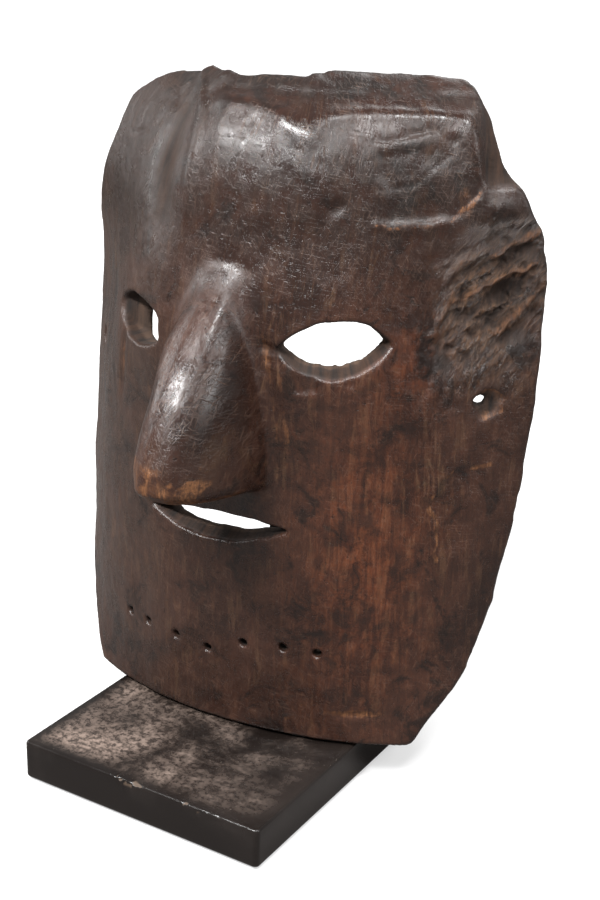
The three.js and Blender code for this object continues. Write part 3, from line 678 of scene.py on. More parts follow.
def paint_masks(piece, s, w, depth, local):
    """Where the wood is worn to tan, reddened, dulled, darkened and polished; painted sheen on its right
    side, painted shade on the crown's top band.
    """
    x, y, z = local.T
    nose_front = smoothstep(-8, -20, y) * smoothstep(140, 146, z)
    gnawed, sunken = gnawed_patch(s, w), sunken_patch(s, w)
    shaken = w + 1.2 * noise(s / 4, w / 4, 16)
    torn = sum(along_line(s, shaken, line, 2.0) for line in TORN_RIDGES)
    frayed = smoothstep(118, 134, s) * smoothstep(0.0, 0.5, rough_noise(s / 5, w / 5, 51, 3))
    blotchy = smoothstep(-0.25, 0.5, rough_noise(x / 4.5, z / 4.5, 50, 3))
    tip = smoothstep(-22, -44, y) * smoothstep(27, 9, x)
    lip = w + 1.2 * noise(s / 5, w / 5, 18) + 1.2
    worn = (tip * ((0.6 + 0.6 * blotchy) * smoothstep(169, 157, z + 0.25 * x)
                   + 0.55 * blotchy * smoothstep(180, 160, z))
            + 0.5 * nose_front * smoothstep(153.5, 150, z + 0.05 * x)
            + 0.6 * along_line(s, lip, BROKEN_LIP, 0.8) + gnawed * (0.8 * torn + 0.5 * frayed)
            + 1.2 * smoothstep(0, 0.12, tie_funnel(s, w)) * smoothstep(118.5, 121, s)
            + (0.45 + 0.4 * blotchy) * along_line(jagged(s, w), w, FLAKE, 1.3)
            + 0.5 * blotchy * along_line(s, w, SHARD, 1.3)
            + lines(s, w, WORN_LINES) + strokes(s, w, WORN_CUTS) + bumps(s, w, WORN_PATCHES))
    corner = smoothstep(262, 275, w)
    masks = {
        "worn": worn,
        "red": bumps(s, w, RED_PATCHES),
        "dull": (0.5 * sunken + 0.9 * smoothstep(317, 322, w) + 0.9 * gnawed
                 + 0.7 * corner * smoothstep(103, 110, s)),
        # Painted sheen: a lighter grey over the right side, strongest on its outer plane above the chin.
        "grey": smoothstep(-26, -50, s) * smoothstep(20, 80, z) + 0.3 * smoothstep(0, -30, s),
        "gloss": (1.2 * along_line(s, w - 2, CREST_RIGHT, 6.5) + 1.0 * along_line(s, w - 2, CREST_LEFT, 5.5)
                  + nose_front * smoothstep(158, 185, z)),
        # Painted shade on the crown's flat top band, with darker wood over the upper face, in the sunken
        # patch and on the front of the nose.
        "dark_and_shade": (sunken * smoothstep(-0.2, 0.3, noise(s / 9, w / 9, 55))
                  + 0.9 * smoothstep(316, 321, w) + 0.75 * smoothstep(222, 262, w)
                  + 0.8 * bump_at(x, z, 12, 185, 12, 30) * nose_front),
        "dusty": 0.3 + 0.9 * gnawed + 0.6 * corner * smoothstep(104, 110, s) + bumps(s, w, DUSTY_PATCHES),
        "torn": gnawed,
    }
    outside = smoothstep(5, 2, depth)
    for name, value in masks.items():
        add_attribute(piece, name, np.clip(value, 0, 1) * outside)
    add_attribute(piece, "inner", smoothstep(0.8, 2.8, depth))
    add_attribute(piece, "behind", smoothstep(5.8, 7.0, depth))
    add_attribute(piece, "around", s * MM)


# ---------------------------------------------------------------- materials
class Nodes:
    """Short way to build a material's node tree."""

    def __init__(self, name):
        self.material = bpy.data.materials.new(name)
        self.material.use_nodes = True
        self.tree = self.material.node_tree
        self.shader = self.tree.nodes["Principled BSDF"]
        self.place = self.add("ShaderNodeTexCoord").outputs["Object"]

    def add(self, kind, settings=None, **inputs):
        node = self.tree.nodes.new(kind)
        for key, value in (settings or {}).items():
            setattr(node, key, value)
        for key, value in inputs.items():
            self.join(value, node.inputs[key.replace("_", " ")])
        return node

    def join(self, value, socket):
        if isinstance(value, bpy.types.NodeSocket):
            self.tree.links.new(value, socket)
        else:
            socket.default_value = value

    def turned(self, vector, degrees):
        """The vector turned about Y, so stretched noise runs at a slant over the face."""
        return self.add("ShaderNodeMapping", Vector=vector, Rotation=(0, degrees * DEG, 0)).outputs["Vector"]

    def attribute(self, name):
        return self.add("ShaderNodeAttribute", {"attribute_name": name}).outputs["Fac"]

    def noise(self, scale, detail, rough, twist=0.0, vector=None):
        """Noise at one scale, or at a scale for each axis, which stretches it."""
        vector = vector or self.place
        if isinstance(scale, tuple):
            vector = self.add("ShaderNodeMapping", Vector=vector, Scale=scale).outputs["Vector"]
            scale = 1.0
        return self.add("ShaderNodeTexNoise", Vector=vector, Scale=scale, Detail=detail, Roughness=rough,
                        Distortion=twist).outputs["Fac"]

    def math(self, kind, *values):
        node = self.add("ShaderNodeMath", {"operation": kind})
        for value, socket in zip(values, node.inputs):
            self.join(value, socket)
        return node.outputs[0]

    def times(self, a, b):
        return self.math("MULTIPLY", a, b)

    def plus(self, total, *terms):
        for term in terms:
            total = self.math("ADD", total, term)
        return total

    def ramp(self, value, low, high, out_low=0.0, out_high=1.0):
        node = self.add("ShaderNodeMapRange", {"interpolation_type": "SMOOTHSTEP"})
        for key, item in zip(("Value", "From Min", "From Max", "To Min", "To Max"),
                             (value, low, high, out_low, out_high)):
            self.join(item, node.inputs[key])
        return node.outputs["Result"]

    def mix(self, share, a, b):
        a, b = (c if isinstance(c, bpy.types.NodeSocket) else (*c, 1) for c in (a, b))
        return self.add("ShaderNodeMix", {"data_type": "RGBA"}, Factor=share, A=a, B=b).outputs["Result"]

    def bump(self, height, strength, distance, normal=None):
        node = self.add("ShaderNodeBump", Height=height, Strength=strength, Distance=distance)
        if normal is not None:
            self.join(normal, node.inputs["Normal"])
        return node.outputs["Normal"]

    def finish(self, color, roughness, normal=None, **fixed):
        self.join(color, self.shader.inputs["Base Color"])
        self.join(roughness, self.shader.inputs["Roughness"])
        if normal is not None:
            self.join(normal, self.shader.inputs["Normal"])
        set_inputs(self.shader, **fixed)
        return self.material


def carved_wood():
    """Dark handled wood: blackened patina, red-brown where it is rubbed, tan where it is bare, with painted
    sheen and shade.
    """
    n = Nodes("carved_wood")
    height = n.add("ShaderNodeSeparateXYZ", Vector=n.place).outputs["Z"]
    skin = n.add("ShaderNodeCombineXYZ", X=n.attribute("around"), Z=height).outputs["Vector"]
    fibre = n.noise((1500, 1, 110), 4, 0.65, 0.5, skin)
    streak = n.noise((270, 1, 34), 6, 0.68, 1.1, skin)
    cloud = n.noise(21, 4, 0.6, 0.5)
    mottle = n.noise(90, 6, 0.68, 0.4)
    blotch = n.noise(46, 6, 0.7, 0.8)
    speck = n.noise(520, 3, 0.6)
    splinter = n.noise((520, 1, 150), 6, 0.72, 1.4, n.turned(skin, -35))
    cuts = [n.ramp(n.noise((long, 1, 2300), 3, 0.6, 0.5, n.turned(skin, angle)), 0.56, 0.68)
            for angle, long in ((-8, 130), (62, 150), (-50, 170), (84, 140))]
    hatching = n.math("MAXIMUM", n.math("MAXIMUM", cuts[0], cuts[1]), n.math("MAXIMUM", cuts[2], cuts[3]))
    hatching = n.times(hatching, n.ramp(mottle, 0.42, 0.6))
    worn, red, dull, grey, inner = (n.attribute(k) for k in ("worn", "red", "dull", "grey", "inner"))
    gloss, dark_and_shade, dusty, torn = (n.attribute(k) for k in ("gloss", "dark_and_shade", "dusty", "torn"))

    color = n.mix(n.ramp(cloud, 0.36, 0.64), (0.0145, 0.0073, 0.0055), (0.0327, 0.0141, 0.0092))
    rusty = n.mix(n.ramp(streak, 0.36, 0.66), (0.0443, 0.0115, 0.0050), (0.1155, 0.0316, 0.0108))
    rubbed = n.times(n.plus(n.times(red, 0.85), 0.13), n.ramp(mottle, 0.34, 0.66, 0.1, 1.0))
    color = n.mix(rubbed, color, rusty)
    # Painted sheen: a lighter grey over the right side of the face.
    color = n.mix(n.times(grey, 0.40), color, (0.0366, 0.0239, 0.0185))
    earthy = n.times(n.ramp(streak, 0.50, 0.66), n.ramp(blotch, 0.42, 0.58))
    earthy = n.times(earthy, n.times(dusty, 0.75))
    color = n.mix(earthy, color, (0.1204, 0.0682, 0.0370))
    splintered = n.mix(n.ramp(splinter, 0.40, 0.64), (0.0160, 0.0082, 0.0050), (0.2100, 0.1000, 0.0420))
    color = n.mix(n.times(torn, n.ramp(mottle, 0.3, 0.6, 0.1, 0.75)), color, splintered)
    color = n.mix(n.ramp(fibre, 0.52, 0.70, 0.0, 0.45), color, (0.0060, 0.0036, 0.0030))
    color = n.mix(n.ramp(blotch, 0.45, 0.36, 0.0, 0.75), color, (0.0072, 0.0043, 0.0035))
    # Painted shade on the crown's top band, with darker wood on the upper face, in the sunken patch and on
    # the nose.
    color = n.mix(n.times(dark_and_shade, n.ramp(mottle, 0.3, 0.6)), color, (0.0077, 0.0051, 0.0042))
    color = n.mix(n.times(hatching, 0.26), color, (0.1540, 0.0896, 0.0616))
    bare = n.mix(n.ramp(streak, 0.35, 0.65), (0.0480, 0.0170, 0.0070), (0.1900, 0.0820, 0.0330))
    patchy = n.ramp(n.plus(n.times(worn, 0.95), n.times(mottle, 1.1)), 0.82, 1.22)
    patchy = n.times(patchy, n.ramp(fibre, 0.34, 0.54, 0.25, 1.0))
    patchy = n.times(patchy, n.ramp(speck, 0.36, 0.56, 0.3, 1.0))
    color = n.mix(patchy, color, bare)
    color = n.mix(n.ramp(speck, 0.66, 0.72, 0.0, 0.6), color, (0.0039, 0.0026, 0.0024))
    pith = n.mix(n.ramp(streak, 0.3, 0.7), (0.0070, 0.0040, 0.0028), (0.0330, 0.0160, 0.0090))
    raw = n.mix(n.ramp(streak, 0.3, 0.7), (0.0280, 0.0165, 0.0110), (0.0850, 0.0480, 0.0290))
    raw = n.mix(n.ramp(cloud, 0.35, 0.65, 0.0, 0.6), raw, (0.0240, 0.0140, 0.0100))
    color = n.mix(inner, color, pith)
    color = n.mix(n.attribute("behind"), color, raw)

    rough = n.plus(n.ramp(cloud, 0.3, 0.7, 0.25, 0.32), n.ramp(mottle, 0.3, 0.7, -0.05, 0.07),
                   n.ramp(blotch, 0.5, 0.7, 0.0, 0.06), n.times(gloss, -0.08), n.times(dull, 0.05),
                   n.times(patchy, 0.15), n.times(inner, 0.6))

    normal = n.bump(fibre, n.ramp(gloss, 0.0, 1.0, 0.20, 0.05), 0.0004)
    for cut in cuts:
        normal = n.bump(cut, 0.30, 0.00016, normal)
    normal = n.bump(mottle, n.ramp(gloss, 0.0, 1.0, 0.32, 0.08), 0.0010, normal)
    normal = n.bump(n.times(splinter, torn), 0.75, 0.0040, normal)
    normal = n.bump(n.ramp(speck, 0.60, 0.72, 1.0, 0.0), 0.35, 0.0004, normal)
    return n.finish(color, rough, normal, Specular_IOR_Level=0.42)


def lacquer():
    """Black lacquer: glossy on the sides, filmed with brown dust on top, tan wood where it is chipped."""
    n = Nodes("plinth_lacquer")
    axis = n.add("ShaderNodeSeparateXYZ", Vector=n.place).outputs
    edge = n.math("MAXIMUM", n.math("ABSOLUTE", axis["X"]), n.math("ABSOLUTE", axis["Y"]))
    cloud = n.noise(24, 5, 0.6, 0.4)
    grit = n.noise(300, 5, 0.75)
    fine = n.noise(1400, 2, 0.6)
    rubbed = n.noise((40, 120, 40), 4, 0.6, 0.5)
    inside = n.times(n.ramp(edge, 0.0625, 0.052), n.ramp(axis["Z"], 0.0195, 0.0199))
    # The film grows towards -X, so the top is lighter on its left and darker towards +X.
    film = n.plus(cloud, n.times(axis["X"], -3.4))
    film = n.times(n.ramp(film, 0.36, 0.74), inside)
    film = n.times(film, n.ramp(rubbed, 0.28, 0.52, 0.25, 1.0))
    film = n.times(film, n.ramp(grit, 0.40, 0.60, 0.15, 1.0))
    fleck = n.times(n.ramp(fine, 0.70, 0.76), n.ramp(axis["Z"], 0.0192, 0.0199))
    side_dust = n.times(n.ramp(cloud, 0.45, 0.75), 0.10)
    chip = n.attribute("chip")
    color = n.mix(side_dust, (0.007, 0.0050, 0.0043), (0.10, 0.08, 0.07))
    color = n.mix(n.times(film, 0.88), color, (0.228, 0.170, 0.140))
    color = n.mix(n.times(fleck, 0.5), color, (0.45, 0.38, 0.32))
    color = n.mix(n.ramp(chip, 0.5, 1.0, 0.0, 0.8), color, (0.085, 0.058, 0.040))
    rough = n.plus(n.ramp(cloud, 0.3, 0.7, 0.16, 0.26), n.times(film, 0.5), n.times(chip, 0.4))
    normal = n.bump(grit, 0.10, 0.0003)
    normal = n.bump(cloud, 0.10, 0.002, normal)
    return n.finish(color, rough, normal, Specular_IOR_Level=0.32, Coat_Weight=0.08, Coat_Roughness=0.10)


def felt():
    """Dark matted felt."""
    n = Nodes("felt")
    fibre = n.noise((900, 2600, 900), 4, 0.7, 2.0)
    clump = n.noise(380, 4, 0.6, 1.0)
    color = n.mix(n.ramp(fibre, 0.3, 0.7), (0.008, 0.011, 0.009), (0.035, 0.042, 0.036))
    color = n.mix(n.ramp(clump, 0.55, 0.8, 0.0, 0.4), color, (0.07, 0.075, 0.066))
    normal = n.bump(fibre, 0.6, 0.0005)
    normal = n.bump(clump, 0.5, 0.0008, normal)
    rough = n.ramp(clump, 0.3, 0.7, 0.86, 0.98)
    return n.finish(color, rough, normal, Sheen_Weight=0.35, Sheen_Roughness=0.5)


def coated_steel():
    """Black coating with a fine orange peel, worn grey in spots."""
    n = Nodes("bracket_steel")
    orange_peel = n.noise(900, 3, 0.5)
    smear = n.noise(70, 4, 0.6, 0.5)
    rubbed = n.noise(240, 5, 0.7)
    wear = n.ramp(rubbed, 0.66, 0.72)
    color = n.mix(n.ramp(smear, 0.3, 0.7), (0.009, 0.009, 0.010), (0.020, 0.019, 0.019))
    color = n.mix(wear, color, (0.13, 0.12, 0.11))
    rough = n.plus(n.ramp(smear, 0.3, 0.7, 0.36, 0.52), n.times(wear, -0.12))
    normal = n.bump(orange_peel, 0.30, 0.0003)
    return n.finish(color, rough, normal, Metallic=0.0)


def turned_metal(name, low, high, rough_low, rough_high):
    """Bright metal with fine turning marks and dulled patches."""
    n = Nodes(name)
    lines = n.noise((200, 200, 9000), 2, 0.6)
    tarnish = n.noise(500, 5, 0.65, 0.5)
    color = n.mix(n.ramp(tarnish, 0.32, 0.68), low, high)
    color = n.mix(n.ramp(tarnish, 0.62, 0.74, 0.0, 0.5), color, tuple(0.35 * c for c in low))
    rough = n.plus(n.ramp(tarnish, 0.3, 0.7, rough_low, rough_high), n.ramp(lines, 0.3, 0.7, 0, 0.1))
    normal = n.bump(lines, 0.25, 0.0001)
    return n.finish(color, rough, normal, Metallic=1.0)


def rubber():
    """Black rubber with a dull bloom."""
    n = Nodes("sleeve_rubber")
    grain = n.noise(1500, 3, 0.6)
    bloom = n.noise(160, 4, 0.6, 0.6)
    color = n.mix(n.ramp(bloom, 0.4, 0.75), (0.010, 0.010, 0.011), (0.040, 0.039, 0.038))
    normal = n.bump(grain, 0.35, 0.0002)
    return n.finish(color, n.ramp(bloom, 0.3, 0.7, 0.55, 0.75), normal)


materials = {
    "carved_wood": carved_wood(), "plinth_lacquer": lacquer(), "felt": felt(),
    "bracket_steel": coated_steel(), "sleeve_rubber": rubber(),
    "screw_steel": turned_metal("screw_steel", (0.30, 0.30, 0.30), (0.52, 0.52, 0.51), 0.25, 0.42),
    "clamp_brass": turned_metal("clamp_brass", (0.42, 0.27, 0.09), (0.68, 0.47, 0.18), 0.22, 0.40),
}


def finish_piece(piece, body, slot, nodes, crease=None):
    """Gives a piece its material, hangs it on what it rides on, and hides the part it stands for."""
    if crease:
        piece.data.set_sharp_from_angle(angle=crease * DEG)
    piece.data.materials.append(materials[slot])
    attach(piece, body)
    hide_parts(nodes)


# ---------------------------------------------------------------- stand, in millimetres
FELT_SIDE, FELT_THICK = 122.0, 0.8
PLINTH_SIDE, PLINTH_BOTTOM, PLINTH_TOP = 128.0, 1.1, 20.0
PLINTH_CORNER, PLINTH_ARRIS = 2.5, 1.6
POST_Y, POST_RADIUS, BORE_RADIUS, POST_FOOT = 48.0, 3.2, 3.5, 24.3
BAR_Z, BAR_Y, BAR_RADIUS, BAR_FLAT, BAR_BEND_RADIUS = 252.0, 18.6, 2.5, 8.0, 55.0
BAR_BEND, SLEEVE_FROM = 34 * DEG, 14 * DEG
SLEEVE_RADIUS, SLEEVE_RIB, SLEEVE_RIBS, POST_BEHIND_BAR = 4.5, 0.18, 9, 7.2
TEE_WIDTH, TEE_FRONT, TEE_BACK, TEE_HEIGHT = 12.0, 14.5, 31.5, 15.0
SOCKET_BOTTOM, SOCKET_FLANGE, SOCKET_THICK, SOCKET_TUBE, SOCKET_TOP, SOCKET_FLOOR = 20.3, 14, 3, 6.6, 46, 24
SCREW_CIRCLE, SCREW_SHANK, SCREW_HEAD, SCREW_HEAD_THICK, SCREW_LENGTH = 10.0, 1.4, 2.7, 2.0, 12.0
CLAMP_Z, CLAMP_SHANK, CLAMP_HEAD, CLAMP_HEAD_LENGTH = 38.0, 1.6, 4.0, 5.5
THREAD_STEP, SLOT_WIDTH, SLOT_DEPTH = 0.35, 0.7, 0.9
KNURL_SIDES, KNURL_TEETH = 120, 30
PAD_WIDTH, PAD_LENGTH, PAD_THICK, PAD_AROUND = 15.9, 5.95, 0.8, 42
GAP = 0.3
LAY_BACK, LAY_ACROSS = Matrix.Rotation(-90 * DEG, 4, "X"), Matrix.Rotation(90 * DEG, 4, "Y")
FLANGE_SCREWS = [(SCREW_CIRCLE * math.cos(a * DEG), POST_Y + SCREW_CIRCLE * math.sin(a * DEG))
                 for a in (90, 210, 330)]


def quarter_turn(count):
    """Angles from 0 to a right angle."""
    return np.linspace(0, np.pi / 2, count)


def rings_mesh(name, rings, closed_along=False):
    """Skin over equal rings of points, with flat caps unless the rings close on themselves."""
    rings = np.asarray(rings, float)
    count, around = rings.shape[:2]
    i = np.arange(count if closed_along else count - 1)[:, None]
    j = np.arange(around)[None, :]
    here, there = i * around, (i + 1) % count * around
    quads = np.stack([here + j, here + (j + 1) % around, there + (j + 1) % around, there + j],
                     axis=-1).reshape(-1, 4)
    mesh = bpy.data.meshes.new(name)
    faces = quads.tolist()
    if not closed_along:
        faces += [list(range(around))[::-1], list(range((count - 1) * around, count * around))]
    mesh.from_pydata((rings.reshape(-1, 3) * MM).tolist(), [], faces)
    mesh.shade_smooth()
    mesh.update()
    return add_object(name, mesh)


def turned(name, profile, sides=64):
    """Solid turned about Z; the profile's [radius, height] pairs start and end near the axis."""
    angle = np.arange(sides) * 2 * np.pi / sides
    circle = np.stack([np.cos(angle), np.sin(angle), np.zeros(sides)], axis=1)
    return rings_mesh(name, [circle * max(r, 0.05) + (0, 0, z) for r, z in profile])


def move(piece, x=0.0, y=0.0, z=0.0, turn=None):
    matrix = Matrix.Translation((x * MM, y * MM, z * MM))
    piece.data.transform(matrix @ turn if turn else matrix)
    return piece


def rod(x, y, z0, z1, radius, sides=32):
    """Plain upright rod to cut a round hole with."""
    return move(turned("cutter", [(radius, z0), (radius, z1)], sides), x, y)


def screw_holes(z0, z1):
    """Cutters for the flange screws' holes."""
    return [rod(x, y, z0, z1, SCREW_SHANK + GAP) for x, y in FLANGE_SCREWS]


def carve(piece, cutters):
    """Cuts the other solids out of a piece and removes them."""
    for cutter in cutters:
        modifier = piece.modifiers.new("cut", "BOOLEAN")
        modifier.operation = "DIFFERENCE"
        modifier.solver = "EXACT"
        modifier.object = cutter
    graph = bpy.context.evaluated_depsgraph_get()
    carved = bpy.data.meshes.new_from_object(piece.evaluated_get(graph))
    piece.modifiers.clear()
    old = piece.data
    piece.data = carved
    bpy.data.meshes.remove(old)
    carved.name = piece.name
    for cutter in cutters:
        bpy.data.objects.remove(cutter)
    return piece


def sweep(path, radius, sides=28, up=(0, 0, 1)):
    """Rings of a round section along a path in mm; radius may be one number or one per point."""
    path = np.asarray(path, float)
    tangent = np.gradient(path, axis=0)
    tangent /= np.linalg.norm(tangent, axis=1)[:, None]
    side = np.cross(tangent, up)
    side /= np.linalg.norm(side, axis=1)[:, None]
    other = np.cross(side, tangent)
    angle = np.arange(sides) * 2 * np.pi / sides
    radius = np.broadcast_to(radius, len(path))[:, None, None]
    return path[:, None] + radius * (np.cos(angle)[None, :, None] * side[:, None]
                                     + np.sin(angle)[None, :, None] * other[:, None])


def rounded_ends(path, radius, round_by):
    """Adds points and shrinking radii at both ends of a path, so a rod ends with a soft edge."""
    path = np.asarray(path, float)
    inward = round_by * (1 - np.sin(quarter_turn(5)))[:, None]
    rounded = radius - round_by * (1 - np.cos(quarter_turn(5)))
    first, last = path[1] - path[0], path[-2] - path[-1]
    start = path[0] + first / np.linalg.norm(first) * inward[::-1]
    stop = path[-1] + last / np.linalg.norm(last) * inward
    away = np.minimum(np.linalg.norm(path - path[0], axis=1), np.linalg.norm(path - path[-1], axis=1))
    keep = path[away > round_by + 0.05]
    return (np.concatenate([start, keep, stop]),
            np.concatenate([rounded[::-1], np.full(len(keep), radius), rounded]))


def square_outline(side, corner, per_side):
    """Points round a square with rounded corners, and their outward directions."""
    half = side / 2 - corner
    straight = np.linspace(-half, half, per_side)[1:-1]
    run = np.column_stack([np.full_like(straight, side / 2), straight])
    arc = np.column_stack([np.cos(quarter_turn(9)), np.sin(quarter_turn(9))])
    points = np.concatenate([run, half + corner * arc])
    directions = np.concatenate([np.tile([1.0, 0.0], (len(run), 1)), arc])
    turns = [np.array([[c, n], [-n, c]]) for c, n in ((1, 0), (0, 1), (-1, 0), (0, -1))]
    return [np.concatenate([part @ turn for turn in turns]) for part in (points, directions)]


def chip_depth(x, y, z):
    """How deep the lacquer is chipped, in mm, along the front top arris and at two corners."""
    front = np.exp(-((y + 64) / 2.2) ** 2 - ((z - 19.4) / 1.5) ** 2)
    run = bumps(x, 0 * x, [(1.0, -6, 0, 9, 1), (0.75, 30, 0, 6, 1), (0.65, 51, 0, 7, 1)])
    notches = smoothstep(-0.1, 0.55, rough_noise(x / 2.6, z / 2.0 + 5, 61, 3))
    back = np.exp(-((x + 63) / 2.0) ** 2 - ((y - 62) / 3.0) ** 2)
    back = back * smoothstep(0, 0.5, rough_noise(y / 2, z / 2, 64, 2))
    return 0.75 * front * run * notches + 0.7 * back


def make_plinth():
    per_side = 200
    outline, direction = square_outline(PLINTH_SIDE, PLINTH_CORNER, per_side)
    low, high = PLINTH_BOTTOM + PLINTH_ARRIS, PLINTH_TOP - PLINTH_ARRIS
    arris = [(PLINTH_ARRIS * (1 - math.sin(a)), PLINTH_ARRIS * math.cos(a)) for a in quarter_turn(7)]
    profile = [(inset, low - rise) for inset, rise in arris]
    profile += [(0, z) for z in np.linspace(low, high, 6)[1:-1]]
    profile += [(inset, high + rise) for inset, rise in reversed(arris)]
    rings = [np.column_stack([outline - direction * inset, np.full(len(outline), z)]) for inset, z in profile]
    rings += [rings[-1] * (share, share, 1) for share in (0.96, 0.92, 0.85, 0.7, 0.5, 0.3)]
    rings = np.array(rings)
    depth = chip_depth(*np.moveaxis(rings, 2, 0))
    in_front = rings[..., 1] < 0
    rings[..., 1] += depth * 0.7 * in_front
    rings[..., 0] += depth * 0.7 * ~in_front
    rings[..., 2] -= depth * 0.7
    piece = rings_mesh("plinth_board", rings)
    add_attribute(piece, "chip", smoothstep(0.12, 0.3, depth).ravel())
    carve(piece, screw_holes(PLINTH_TOP - SCREW_LENGTH, PLINTH_TOP + 5))
    finish_piece(piece, "base", "plinth_lacquer", "plinth", 40)


def felt_sheet(name, width, length, thick, corner, cells):
    """Thin felt with a slightly uneven edge, lying from 0 upwards."""
    outline, direction = square_outline(width, corner, cells)
    outline[:, 1] *= length / width
    wander = 0.12 * rough_noise(outline[:, 0] / 1.7, outline[:, 1] / 1.7, 71, 3)
    outline = outline - direction * (0.12 + np.abs(wander))[:, None]
    rings = []
    for inset, height in ((2.0, 0.0), (0.25, 0.0), (0.0, 0.25), (0.05, 0.55), (0.3, 1.0), (2.0, 1.0)):
        flat = outline - direction * min(inset, corner)
        rings.append(np.column_stack([flat, np.full(len(flat), thick * height)]))
    return rings_mesh(name, rings)


def make_felts():
    sheet = felt_sheet("base_felt_sheet", FELT_SIDE, FELT_SIDE, FELT_THICK, 2.0, 60)
    finish_piece(sheet, "base", "felt", "base_felt", 50)
    for side, node in ((1, "chin_pad_left"), (-1, "chin_pad_right")):
        low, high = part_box(node)
        middle = (Vector(low) + Vector(high)) / 2
        pad = felt_sheet(node + "_felt", PAD_WIDTH, PAD_LENGTH, PAD_THICK, 1.0, 24)
        turn = Matrix.Rotation(chin_direction(side * PAD_AROUND), 4, "Z")
        pad.data.transform(Matrix.Translation((middle.x, middle.y, low[2])) @ turn)
        finish_piece(pad, "base", "felt", node, 50)


def chin_direction(s):
    """Angle about Z of the chin wall at distance s around it."""
    flat, bend, turn = (float(monotone(HEIGHTS, c, np.array([CHIN_Z]))[0]) for c in (FLAT, BEND, TURN))
    angle = min(max(abs(s) - flat, 0) / (bend / (turn * DEG)), turn * DEG)
    return MASK_YAW + math.copysign(angle, s)


def make_socket():
    b, f, top, tube = SOCKET_BOTTOM, SOCKET_FLANGE, SOCKET_TOP, SOCKET_TUBE
    seat = b + SOCKET_THICK
    # The flange's top rises a little to the tube, whose foot flares out over it.
    foot = [(tube + 1.4 * (1 - math.cos(a)), seat + 1.4 * (1 - math.sin(a))) for a in quarter_turn(6)]
    profile = [(0, b), (f - 0.5, b), (f - 0.15, b + 0.15), (f, b + 0.5), (f, seat - 0.7),
               (f - 0.1, seat - 0.35), (f - 0.35, seat - 0.1), (f - 0.7, seat), *foot, (tube, top - 0.8),
               (tube - 0.12, top - 0.4), (tube - 0.4, top - 0.12), (tube - 0.8, top),
               (BORE_RADIUS + 0.35, top), (BORE_RADIUS, top - 0.35), (BORE_RADIUS, SOCKET_FLOOR),
               (0, SOCKET_FLOOR)]
    piece = move(turned("post_socket_turned", profile, 72), 0, POST_Y)
    clamp = rod(0, 0, 1, 12, CLAMP_SHANK + GAP)
    carve(piece, screw_holes(b - 2, b + 6) + [move(clamp, 0, POST_Y, CLAMP_Z, LAY_BACK)])
    finish_piece(piece, "base", "bracket_steel", "post_socket", 35)


def slot_cutter(width, length, z0, z1):
    """Bar to cut a driver's slot with."""
    x, y = length / 2, width / 2
    return rings_mesh("cutter", [[(-x, -y, z), (x, -y, z), (x, y, z), (-x, y, z)] for z in (z0, z1)])


def thread(radius, depth, z0, z1, first):
    """Profile of a fine thread from z0 to z1, ridge and groove by turns; first 0 starts on a ridge."""
    count = math.ceil((z1 - z0) / THREAD_STEP)
    return [(radius - depth * ((first + i) % 2), z0 + THREAD_STEP * i) for i in range(count)]


def make_screws():
    seat = SOCKET_BOTTOM + SOCKET_THICK + GAP
    point, top = PLINTH_TOP - SCREW_LENGTH + 1.5, seat + SCREW_HEAD_THICK
    neck = SCREW_SHANK - 0.15
    dome = [(SCREW_HEAD * math.cos(a), seat + 0.5 + (SCREW_HEAD_THICK - 0.5) * math.sin(a))
            for a in np.linspace(0.1, np.pi / 2, 9)]
    profile = [(0, point), (SCREW_SHANK - 0.35, point + 1.6),
               *thread(SCREW_SHANK, 0.3, point + 2.0, SOCKET_BOTTOM - 0.2, 0),
               (neck, SOCKET_BOTTOM), (neck, seat), (SCREW_HEAD, seat), *dome]
    for i, (x, y) in enumerate(FLANGE_SCREWS):
        piece = turned(f"flange_screw_{i + 1}_turned", profile, 40)
        carve(piece, [slot_cutter(SLOT_WIDTH, 8, top - SLOT_DEPTH, top + 2)])
        move(piece, x, y, 0, Matrix.Rotation((20 + 50 * i) * DEG, 4, "Z"))
        finish_piece(piece, "base", "screw_steel", f"flange_screw_{i + 1}", 35)


def make_clamp():
    tip, start = POST_RADIUS + GAP, SOCKET_TUBE + GAP
    end = start + CLAMP_HEAD_LENGTH
    head = CLAMP_HEAD
    # Radius, height and how much of the knurling each ring carries.
    profile = [(0.05, tip, 0), (1.2, tip, 0), (CLAMP_SHANK, tip + 0.4, 0)]
    profile += [(r, z, 0) for r, z in thread(CLAMP_SHANK, 0.25, tip + 0.8, start - 0.1, 1)]
    profile += [(CLAMP_SHANK, start, 0), (head - 0.6, start, 0), (head - 0.2, start + 0.3, 0.2),
                (head, start + 0.7, 1), (head, start + 2.2, 1), (head, end - 1.2, 1),
                (head - 0.3, end - 0.7, 0.2), (head - 0.9, end - 0.15, 0), (head - 1.3, end, 0),
                (0.05, end, 0)]
    angle = np.arange(KNURL_SIDES) * 2 * np.pi / KNURL_SIDES
    rings = []
    for radius, height, knurl in profile:
        r = radius - 0.22 * knurl * (0.5 + 0.5 * np.cos(angle * KNURL_TEETH))
        rings.append(np.stack([r * np.cos(angle), r * np.sin(angle), np.full(KNURL_SIDES, height)], axis=1))
    piece = rings_mesh("clamp_screw_knurled", rings)
    carve(piece, [slot_cutter(0.8, 12, end - 1.0, end + 2)])
    move(piece, 0, POST_Y, CLAMP_Z, LAY_BACK)
    finish_piece(piece, "base", "clamp_brass", "clamp_screw", 35)


